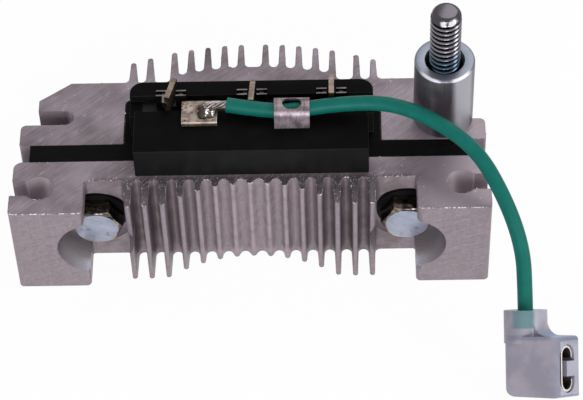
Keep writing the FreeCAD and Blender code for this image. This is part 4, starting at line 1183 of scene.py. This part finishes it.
@dataclass
class Studio:
    """Camera, pale floor, white surroundings and soft lamps."""

    photo_width: int = 583
    focal_pixels: float = 2502.16
    sensor_width: float = 36.0
    eye: Triple = (0.01803, -0.3381, 0.42263)
    yaw: float = 1.7078
    pitch: float = 51.3716
    roll: float = -2.2377
    floor_half: float = 1.5
    surround: float = 0.45
    floor_glow: float = 0.965
    aim: Triple = (0.0, -0.005, 0.02)
    lamps: tuple[tuple[str, Triple, float, float], ...] = (
        ("front_lamp", (0.02, -0.86, 0.36), 0.45, 4.6),
        ("right_lamp", (0.75, -0.25, 0.55), 0.35, 2.2),
        ("rear_lamp", (0.26, 0.62, 0.80), 0.50, 2.3),
    )

    def camera(self) -> None:
        """Sets the camera at the photograph's place and angle, with its focal length."""
        data = bpy.data.cameras.new("camera")
        data.sensor_width = self.sensor_width
        data.lens = self.focal_pixels / self.photo_width * self.sensor_width
        data.clip_start = 0.01
        turn = (Matrix.Rotation(math.radians(self.yaw), 4, "Z")
                @ Matrix.Rotation(math.radians(90 - self.pitch), 4, "X")
                @ Matrix.Rotation(math.radians(self.roll), 4, "Z"))
        holder = new_object("camera", data)
        holder.matrix_world = Matrix.Translation(Vector(self.eye)) @ turn
        bpy.context.scene.camera = holder
        bpy.context.scene.view_settings.view_transform = "Standard"

    def world(self) -> None:
        """Surroundings: white where they are seen, softer where they light the object."""
        world = bpy.data.worlds.new("surroundings")
        tree = NodeTree(world)
        seen = tree.node("ShaderNodeBackground", {}, {"Color": (1.0, 1.0, 1.0)})
        lights = tree.node("ShaderNodeBackground", {}, {"Color": (1.0, 0.985, 0.99), "Strength": self.surround})
        mix = tree.node("ShaderNodeMixShader", {}, {0: tree.seen_directly(), 1: lights.outputs[0],
                                                    2: seen.outputs[0]})
        tree.node("ShaderNodeOutputWorld", {}, {0: mix.outputs[0]})
        bpy.context.scene.world = world

    def floor(self) -> None:
        """Pale floor under the object; it looks white and keeps a faint shadow."""
        half = self.floor_half
        mesh = bpy.data.meshes.new("floor")
        corners = [(-half, -half, 0.0), (half, -half, 0.0), (half, half, 0.0), (-half, half, 0.0)]
        mesh.from_pydata(corners, [], [(0, 1, 2, 3)])
        material = bpy.data.materials.new("pale_floor")
        tree = NodeTree(material)
        paper = tree.node("ShaderNodeBsdfDiffuse", {}, {"Color": (0.9, 0.9, 0.9)})
        glow = tree.node("ShaderNodeEmission", {}, {"Color": (1.0, 1.0, 1.0)})
        mix = tree.node("ShaderNodeMixShader", {}, {0: tree.seen_directly() * self.floor_glow,
                                                    1: paper.outputs[0], 2: glow.outputs[0]})
        tree.node("ShaderNodeOutputMaterial", {}, {0: mix.outputs[0]})
        mesh.materials.append(material)
        new_object("floor", mesh)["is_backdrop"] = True

    def light(self) -> None:
        """Hangs the square soft lamps, each with its place, side and power, facing the object."""
        for name, place, size, power in self.lamps:
            data = bpy.data.lights.new(name, "AREA")
            data.size = size
            data.energy = power
            turn = (Vector(self.aim) - Vector(place)).to_track_quat("-Z", "Y").to_matrix().to_4x4()
            new_object(name, data).matrix_world = Matrix.Translation(Vector(place)) @ turn


@dataclass
class Lead:
    """Green insulated lead with its bared strands and its receptacle."""

    frame: dict
    diameter: float = 3.13
    length: float = 92.4
    route: tuple[Triple, ...] = (
        (-4.5, -2.8, 34.4), (5.4, -4.55, 33.95), (11.0, -3.95, 34.05), (19.2, -3.5, 35.0),
        (28.3, -4.0, 35.8), (36.7, -7.8, 35.6), (46.2, -14.7, 33.6), (52.0, -24.4, 28.2),
        (55.1, -31.6, 21.8), (55.4, -38.108, 16.308), (55.4, -43.892, 11.692),
    )
    strands_end: Triple = (-8.9, -2.95, 34.4)
    strand_radius: float = 0.29
    strand_offset: float = 0.57
    strand_pitch: float = 7.0
    strand_count: int = 6
    strand_inside: float = 0.5
    strand_straight: float = 1.2
    sleeve_edge: float = 0.9
    contact_edge: float = 0.06
    tube_length: float = 3.6

    def points(self) -> np.ndarray:
        """The route's control points, in metres."""
        return np.array(self.route) * MM

    def build_lead(self) -> Piece:
        """Makes the jacket as one smooth tube along its route.

        Returns:
            The jacket.
        """
        curve = nurbs_curve("lead_jacket", self.points())
        curve.bevel_depth = self.diameter / 2 * MM
        curve.bevel_resolution = 8
        curve.use_fill_caps = True
        curve.materials.append(Insulation().material())
        jacket = new_object("lead_jacket", curve)
        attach(jacket, BODY)
        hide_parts("lead_wire")
        return jacket

    def build_strands(self) -> None:
        """Twists six tinned strands about a seventh, from inside the jacket to the solder."""
        points = self.points()
        heading = points[0] - points[1]
        heading /= np.linalg.norm(heading)
        route = np.array([points[0] - heading * self.strand_inside * MM,
                          points[0] + heading * self.strand_straight * MM, np.array(self.strands_end) * MM])
        path = centreline(route)
        radius, offset, pitch = (value * MM for value in (self.strand_radius, self.strand_offset, self.strand_pitch))
        grids = (twisted_tubes(path, offset, radius, self.strand_count, pitch)
                 + twisted_tubes(path, 0.0, radius, 1, pitch))
        meshes = [grid_mesh("strand", grid, True) for grid in grids]
        new_piece("bared_twist", joined("bared_twist", meshes), [STRAND_TIN], Slot.COPPER_STRANDS,
                  ["bared_strands"])

    def shell_finish(self, face: Face) -> int:
        """Picks the finish of a face of the sleeve.

        Args:
            face: The face.

        Returns:
            2 on its mouth, 1 on its end walls, 0 elsewhere.
        """
        if face.normal.dot(Vector(MOUTH)) > FACING:
            return 2
        along = (face.calc_center_median() - Vector(ENTRY) * MM).dot(Vector(HEADING))
        return 1 if abs(face.normal.dot(Vector(HEADING))) > FACING and along > self.tube_length * MM else 0

    def contact_finish(self, face: Face) -> int:
        """Finish of a face of the contact: 1 on the edges that look out of the mouth, else 0."""
        return 1 if face.normal.dot(Vector(MOUTH)) > FACING else 0

    def build_receptacle(self) -> list[Piece]:
        """Rounds the insulating sleeve and the contact inside it.

        Returns:
            The sleeve and the contact.
        """
        dress(self.frame, STRAND_TIN, "crimped_conductor")
        shell = softened(self.frame, "receptacle_sleeve", "receptacle_shell", [Nylon(), NYLON_EDGE, NYLON_MOUTH],
                         Slot.SLEEVE_NYLON, self.sleeve_edge, self.shell_finish, edge=1, steps=3)
        contact = softened(self.frame, "flag_receptacle", "flag_contact", [CONTACT_TIN, CONTACT_EDGE_TIN],
                           Slot.TINNED_METAL, self.contact_edge, self.contact_finish)
        return [shell, contact]

    def build(self) -> None:
        jacket = self.build_lead()
        self.build_strands()
        pieces = self.build_receptacle() + [self.frame["nodes"]["crimped_conductor"]]
        tuple(self.points()[0])


@dataclass
class HeatSinks:
    """Both extruded sinks, with sawn ends, broken edges and burr flecks."""

    frame: dict
    chamfer: float = 0.16
    drop: float = 0.10
    flecks: int = 1300
    seed: int = 11
    sharp_degrees: float = 34.0
    spot_radius: float = 7.9
    wall_slack: float = 0.06
    torn_front: float = -15.2
    torn_facing: float = 0.35
    front_rim: float = -13.5
    fins_half: float = 34.0
    fleck_shares: Triple = (2.0, 0.8, 0.2)
    fleck_size: Pair = (0.04, 0.15)
    fleck_spread: float = 0.55
    fleck_stretch: Pair = (0.3, 2.0)
    fleck_rise: float = 0.12
    rims: list[tuple[Triple, ...]] = field(default_factory=list)

    def is_milled(self, face: Face) -> bool:
        """True for a face whose corners all lie on a spot face's wall."""
        reach = [math.hypot(abs(v.co.x) / MM - BOLT_AXIS[0], v.co.z / MM - BOLT_AXIS[1]) for v in face.verts]
        return abs(face.normal.y) < 0.1 and max(abs(r - self.spot_radius) for r in reach) < self.wall_slack

    def break_edges(self, shape: Shape, top: bool) -> None:
        """Turns the rim of one sawn end into a sloping band and notes the upper rim's edges, in a fixed order.

        Args:
            shape: The sink's shape.
            top: True for the upper end.
        """
        level = SINK_TOP * MM if top else 0.0
        side = -1.0 if top else 1.0
        ends = [f for f in shape.faces
                if abs(f.normal.z) > 0.99 and abs(f.calc_center_median().z - level) < 1e-5]
        made = bmesh.ops.inset_region(shape, faces=ends, thickness=self.chamfer * MM, depth=0.0,
                                      use_boundary=True, use_even_offset=True)
        inner = {v for f in ends for v in f.verts}
        outer = {v for f in made["faces"] for v in f.verts} - inner
        for face in ends:
            face.material_index = SinkFace.SAWN
        if top:
            pairs = {e for v in outer for e in v.link_edges if all(end in outer for end in e.verts)}
            self.rims += sorted(tuple(tuple(v.co) for v in e.verts) for e in pairs
                                if abs(e.verts[0].co.z - e.verts[1].co.z) < 1e-7)
        for vertex in outer:
            vertex.co.z += side * self.drop * MM
        shape.normal_update()
        for face in made["faces"]:
            torn = face.normal.y < -self.torn_facing and face.calc_center_median().y < self.torn_front * MM
            face.material_index = SinkFace.TORN if torn else SinkFace.SAWN

    def build_sink(self, node: str, name: str) -> None:
        """Remakes one sink with four finishes: sawn ends, torn rims, drawn sides and spot faces.

        Args:
            node: The CAD node.
            name: Name of the piece.
        """
        shape = merged(self.frame, node)
        for face in shape.faces:
            face.material_index = SinkFace.MILLED if self.is_milled(face) else SinkFace.DRAWN
        self.break_edges(shape, True)
        self.break_edges(shape, False)
        finishes = [SawnAluminium(), BurrAluminium(), ExtrudedAluminium(), MilledAluminium()]
        made = new_piece(name, smooth_mesh(name, shape, self.sharp_degrees), finishes, Slot.ALUMINIUM, [node])
        weighted = made.modifiers.new("flat_faces", "WEIGHTED_NORMAL")
        weighted.keep_sharp = True
        self.shade_walls(made)

    def shade_walls(self, sink: Piece) -> None:
        """Applies the sink's modifier and shades each spot face's wall as the true cylinder.

        Args:
            sink: The sink; the normals of its milled faces are set straight at their bolt's axis.
        """
        view = bpy.context.evaluated_depsgraph_get()
        mesh = bpy.data.meshes.new_from_object(sink.evaluated_get(view), depsgraph=view)
        sink.modifiers.clear()
        sink.data = mesh
        normal = attribute(mesh.corner_normals, "vector", 3)
        milled = attribute(mesh.polygons, "material_index", kind=int) == SinkFace.MILLED
        wall = np.repeat(milled, attribute(mesh.polygons, "loop_total", kind=int))
        at = attribute(mesh.vertices, "co", 3)[attribute(mesh.loops, "vertex_index", kind=int)[wall]] / MM
        inward = np.column_stack([np.sign(at[:, 0]) * BOLT_AXIS[0] - at[:, 0], np.zeros(len(at)),
                                  BOLT_AXIS[1] - at[:, 2]])
        normal[wall] = inward / np.linalg.norm(inward, axis=1, keepdims=True)
        mesh.normals_split_custom_set(normal.tolist())

    def build_flecks(self) -> None:
        """Scatters small torn flecks along the upper rims: irregular four-cornered chips."""
        draw = np.random.default_rng(self.seed)
        ends = np.array(self.rims)
        length = np.linalg.norm(ends[:, 1] - ends[:, 0], axis=1)
        middle = ends.mean(axis=1) / MM
        front = middle[:, 1] < self.front_rim
        on_fins = front & (np.abs(middle[:, 0]) < self.fins_half)
        fins, ahead, behind = self.fleck_shares
        weight = length * np.where(on_fins, fins, np.where(front, ahead, behind))
        pick = draw.choice(len(ends), self.flecks, p=weight / weight.sum())
        share = draw.random((self.flecks, 1))
        along = (ends[pick, 1] - ends[pick, 0]) / np.maximum(length[pick, None], 1e-9)
        centre = ends[pick, 0] * share + ends[pick, 1] * (1 - share)
        centre[:, 2] = (SINK_TOP - self.drop * 0.5) * MM
        size = draw.uniform(*self.fleck_size, (self.flecks, 1, 1)) * MM
        corner = draw.normal(0.0, self.fleck_spread, (self.flecks, 4, 3))
        stretch = draw.uniform(*self.fleck_stretch, (self.flecks, 4, 1))
        stretch = stretch * draw.choice((-1.0, 1.0), (self.flecks, 4, 1))
        corner = centre[:, None] + size * (corner + along[:, None] * stretch)
        corner[:, :, 2] = np.minimum(corner[:, :, 2], (SINK_TOP + self.fleck_rise) * MM)
        corner = np.clip(corner, *(np.array(edge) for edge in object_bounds()))
        first = np.arange(self.flecks)[:, None, None] * 4
        faces = (first + np.array([[0, 1, 2], [0, 3, 1], [1, 3, 2], [2, 3, 0]])).reshape(-1, 3)
        mesh = bpy.data.meshes.new("burr_flecks")
        mesh.from_pydata(corner.reshape(-1, 3).tolist(), [], faces.tolist())
        new_piece("burr_flecks", joined("burr_flecks", [mesh]), [BurrAluminium()], Slot.ALUMINIUM, [])

    def build(self) -> None:
        """Makes both sinks and their flecks."""
        self.build_sink("front_heat_sink", "front_sink")
        self.build_sink("rear_heat_sink", "rear_sink")
        self.build_flecks()


@dataclass
class Housing:
    """Black diode housing with its potting, the bar under it and the diodes inside."""

    frame: dict
    edge: float = 0.22

    def build(self) -> None:
        """Rounds the housing's edges and dresses what lies in and under it."""
        # The sides take the plain plastic, the rounded edges a painted edge highlight and the upward faces painted
        # shade.
        softened(self.frame, "diode_housing", "housing_shell", [BlackPlastic(), PLASTIC_EDGE_HIGHLIGHT, TOP_PLASTIC],
                 Slot.BLACK_PLASTIC, self.edge, lambda face: 2 if face.normal.z > FACING else 0, edge=1)
        dress(self.frame, Resin(), "potting")
        dress(self.frame, BarBoard(), "insulator_bar")
        for kind in ("negative", "positive", "exciter"):
            dress(self.frame, DiodeMoulding(), *(f"{kind}_diode_{side}" for side in ("left", "middle", "right")))


@dataclass
class Terminals:
    """The three phase terminals."""

    frame: dict
    edge: float = 0.08
    blade_half: float = 0.9
    crimp_top: float = 34.4
    crimp_back: float = 1.7
    edge_facing: float = 0.7

    def build_terminal(self, side: str) -> None:
        """Remakes one terminal: upper edges painted pale as highlights, blade sides painted darker as shade, crimps
        painted black as shade with rims painted paler as highlights.

        Args:
            side: Left, middle or right.
        """
        node = f"ac_terminal_{side}"
        low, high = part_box(node)
        middle = (low[0] + high[0]) / 2 / MM

        def pick(face: Face) -> int:
            """Picks the finish of a face.

            Args:
                face: The face.

            Returns:
                0 for the blade, 1 for its edge, 2 for a crimp, 3 for a crimp's rim.
            """
            centre = face.calc_center_median() / MM
            crimp = (abs(centre.x - middle) > self.blade_half and centre.z < self.crimp_top
                     and centre.y < self.crimp_back)
            return (2 if crimp else 0) + (1 if face.normal.z > self.edge_facing else 0)

        softened(self.frame, node, f"phase_terminal_{side}",
                 [BLADE_SIDE_TIN, BLADE_EDGE_TIN, CRIMP_TIN, CRIMP_RIM_TIN], Slot.TERMINAL_METAL, self.edge, pick)

    def build(self) -> None:
        """Makes the three terminals."""
        for side in ("left", "middle", "right"):
            self.build_terminal(side)


@dataclass
class SenseTab:
    """Sense tab with the lump of solder on it."""

    frame: dict
    edge: float = 0.12
    foot: float = 33.5
    radius: float = 2.15
    height: float = 1.15
    right_edge: float = -6.6
    columns: int = 48
    rows: int = 16

    def solder(self) -> Mesh:
        """Shapes the solder.

        Returns:
            A closed lump: height H (1 - s^2)^0.6 (1 + 0.30 sin(3a + 1) s) over the plan radius
            R s (1 + 0.12 sin(2a) + 0.08 sin(5a)), cut off straight at the tab's right edge.
        """
        share = np.concatenate([[0.02, 0.5], np.linspace(1.0, 0.03, self.rows)])
        lift = np.concatenate([[0.0, 0.0], (1 - np.linspace(1.0, 0.03, self.rows) ** 2) ** 0.6])
        angle = np.arange(self.columns) * (2 * np.pi / self.columns)
        plan = self.radius * share[:, None] * (1 + 0.12 * np.sin(2 * angle) + 0.08 * np.sin(5 * angle))
        high = self.height * lift[:, None] * (1 + 0.30 * np.sin(3 * angle + 1.0) * share[:, None])
        x = np.minimum(SOLDER_CENTRE[0] + plan * np.cos(angle), self.right_edge)
        y = SOLDER_CENTRE[1] + plan * np.sin(angle)
        return grid_mesh("solder", np.stack([x, y, self.foot + high], axis=-1) * MM, True)

    def build(self) -> None:
        """Makes the tab and its solder."""
        # The tab's rounded edges take the bright edge finish, a painted highlight.
        softened(self.frame, "d_plus_tab", "sense_tab", [TabStrip(), EDGE_TIN], Slot.TINNED_METAL, self.edge, edge=1)
        new_piece("solder_lump", joined("solder_lump", [self.solder()]), [Solder()], Slot.SOLDER,
                  ["solder_joint"])


@dataclass
class Clip:
    """Folded strip that holds the lead down."""

    frame: dict
    edge: float = 0.12

    def build(self) -> None:
        """Softens the strip's edges; its top is painted darker than its face as shade and its edges painted bright
        as highlights.
        """
        softened(self.frame, "wire_clip", "lead_clip", [CLIP_FACE_TIN, CLIP_TOP_TIN, EDGE_TIN],
                 Slot.CLIP_METAL, self.edge, lambda face: 1 if face.normal.z > FACING else 0, edge=2)


@dataclass
class Bolts:
    """The two clamping bolts and their bushes."""

    frame: dict
    edge: float = 0.16
    end_facing: float = 0.97
    upper_facing: float = 0.3

    def flank(self, face: Face) -> int:
        """Picks the finish of a face of the head.

        Args:
            face: The face.

        Returns:
            0 on its round end, 1 on its upper flanks, 2 on the others.
        """
        # The upper and the other flanks take painted reflections: dark above, tan on the others.
        if face.normal.y < -self.end_facing:
            return 0
        return 1 if face.normal.z > self.upper_facing else 2

    def build(self) -> None:
        """Softens the heads and dresses the bushes."""
        for side in ("left", "right"):
            softened(self.frame, f"clamp_bolt_{side}", f"hexagon_bolt_{side}", [BoltSteel(), BOLT_TOP, BOLT_SIDE],
                     Slot.BOLT_STEEL, self.edge, self.flank)
            dress(self.frame, BlackPlastic(), f"bolt_bush_{side}")


@dataclass
class Stud:
    """Threaded output stud and the collar round it."""

    radius: float = 3.175
    relief: float = 2.8
    head_radius: float = 4.65
    head: float = 2.4
    head_edge: float = 0.15
    thread_foot: float = 39.4
    thread_top: float = 54.4
    top: float = 56.3
    tip_radius: float = 1.9
    pitch: float = 1.27
    depth: float = 0.66
    collar_radius: float = 6.2
    collar_bore: float = 4.03
    collar_height: float = 17.4
    collar_edge: float = 0.5
    collar_lip: float = 0.15
    rows: int = 290
    columns: int = 96
    sharp_degrees: float = 40.0

    def angles(self) -> np.ndarray:
        """The columns' angles: whole turn times column over number of columns."""
        return np.arange(self.columns) * (2 * np.pi / self.columns)

    def turned(self, radius: np.ndarray, height: np.ndarray) -> np.ndarray:
        """Carries a profile round the stud's axis.

        Args:
            radius: Radius of each row, or of each row and column, in millimetres.
            height: Height of each row.

        Returns:
            Points (r cos a, r sin a, z) from the axis for each row and each angle a, in metres.
        """
        angle = self.angles()
        z = np.broadcast_to(height[:, None], (len(height), self.columns))
        return (np.stack([radius * np.cos(angle), radius * np.sin(angle), z], axis=-1) + (*STUD_AXIS, 0.0)) * MM

    def stud(self) -> Mesh:
        """Shapes the stud.

        Returns:
            A turned shape whose radius over the thread is R - D v, where v rises and falls in
            straight flanks with the phase z / pitch - a / 2 pi, held under a rounded tip
            t + (R - t) sqrt(1 - u^2) with u from 0 at the thread's top to 1 at the end.
        """
        inner, outer = self.head_radius - self.head_edge, self.head_radius
        low = np.array([[0.2, 0.0], [inner, 0.0], [outer, self.head_edge], [outer, self.head - self.head_edge],
                        [inner, self.head], [self.radius, self.head], [self.radius, SINK_TOP],
                        [self.relief, SINK_TOP], [self.relief, self.thread_foot]])
        height = np.linspace(self.thread_foot + 0.02, self.top, self.rows)
        end = np.clip((height - self.thread_top) / (self.top - self.thread_top), 0.0, 1.0)
        limit = self.tip_radius + (self.radius - self.tip_radius) * np.sqrt(1 - end ** 2)
        phase = (height[:, None] / self.pitch - self.angles() / (2 * np.pi)) % 1.0
        groove = np.clip(np.abs(2 * phase - 1) * 1.2 - 0.1, 0.0, 1.0)
        entry = np.clip((height - self.thread_foot) / self.pitch, 0.0, 1.0)[:, None]
        thread = self.relief + (self.radius - self.relief) * entry - self.depth * groove * entry
        radius = np.minimum(np.maximum(thread, self.radius - self.depth), limit[:, None])
        rows = [self.turned(low[:, 0, None], low[:, 1]), self.turned(radius, height)]
        return grid_mesh("stud", np.concatenate(rows), True)

    def collar(self) -> Mesh:
        """Shapes the collar.

        Returns:
            A closed ring: its profile runs up the outside, over a rounded outer edge and a small
            inner one, and back down the bore, carried round the stud's axis.
        """
        top = SINK_TOP + self.collar_height
        turn = np.radians(np.linspace(0, 90, 7))
        outer = np.column_stack([self.collar_radius - self.collar_edge * (1 - np.cos(turn)),
                                 top - self.collar_edge * (1 - np.sin(turn))])
        inner = np.column_stack([self.collar_bore + self.collar_lip * (1 - np.sin(turn)),
                                 top - self.collar_lip * (1 - np.cos(turn))])
        foot = np.array([[self.collar_bore, SINK_TOP], [self.collar_radius, SINK_TOP]])
        profile = np.concatenate([foot[1:], outer, inner, foot])
        return grid_mesh("collar", self.turned(profile[:, 0, None], profile[:, 1]), False)

    def build(self) -> None:
        """Makes the stud and its collar."""
        for mesh, name, finish, slot, node in (
                (self.stud(), "threaded_stud", ThreadedSteel(), Slot.ZINC_STEEL, "output_stud"),
                (self.collar(), "stud_collar", CollarSteel(), Slot.COLLAR_STEEL, "stud_sleeve")):
            new_piece(name, joined(name, [mesh], self.sharp_degrees), [finish], slot, [node])


def main() -> None:
    """Loads the frame and builds the studio and every sub-assembly in order."""
    logging.basicConfig(level=logging.INFO, format="%(name)s: %(message)s")
    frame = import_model()
    studio = Studio()
    studio.camera()
    for assembly in (Lead, HeatSinks, Housing, Terminals, SenseTab, Clip, Bolts):
        assembly(frame).build()
    Stud().build()
    studio.world()
    studio.floor()
    studio.light()


if __name__ == "__main__":
    main()
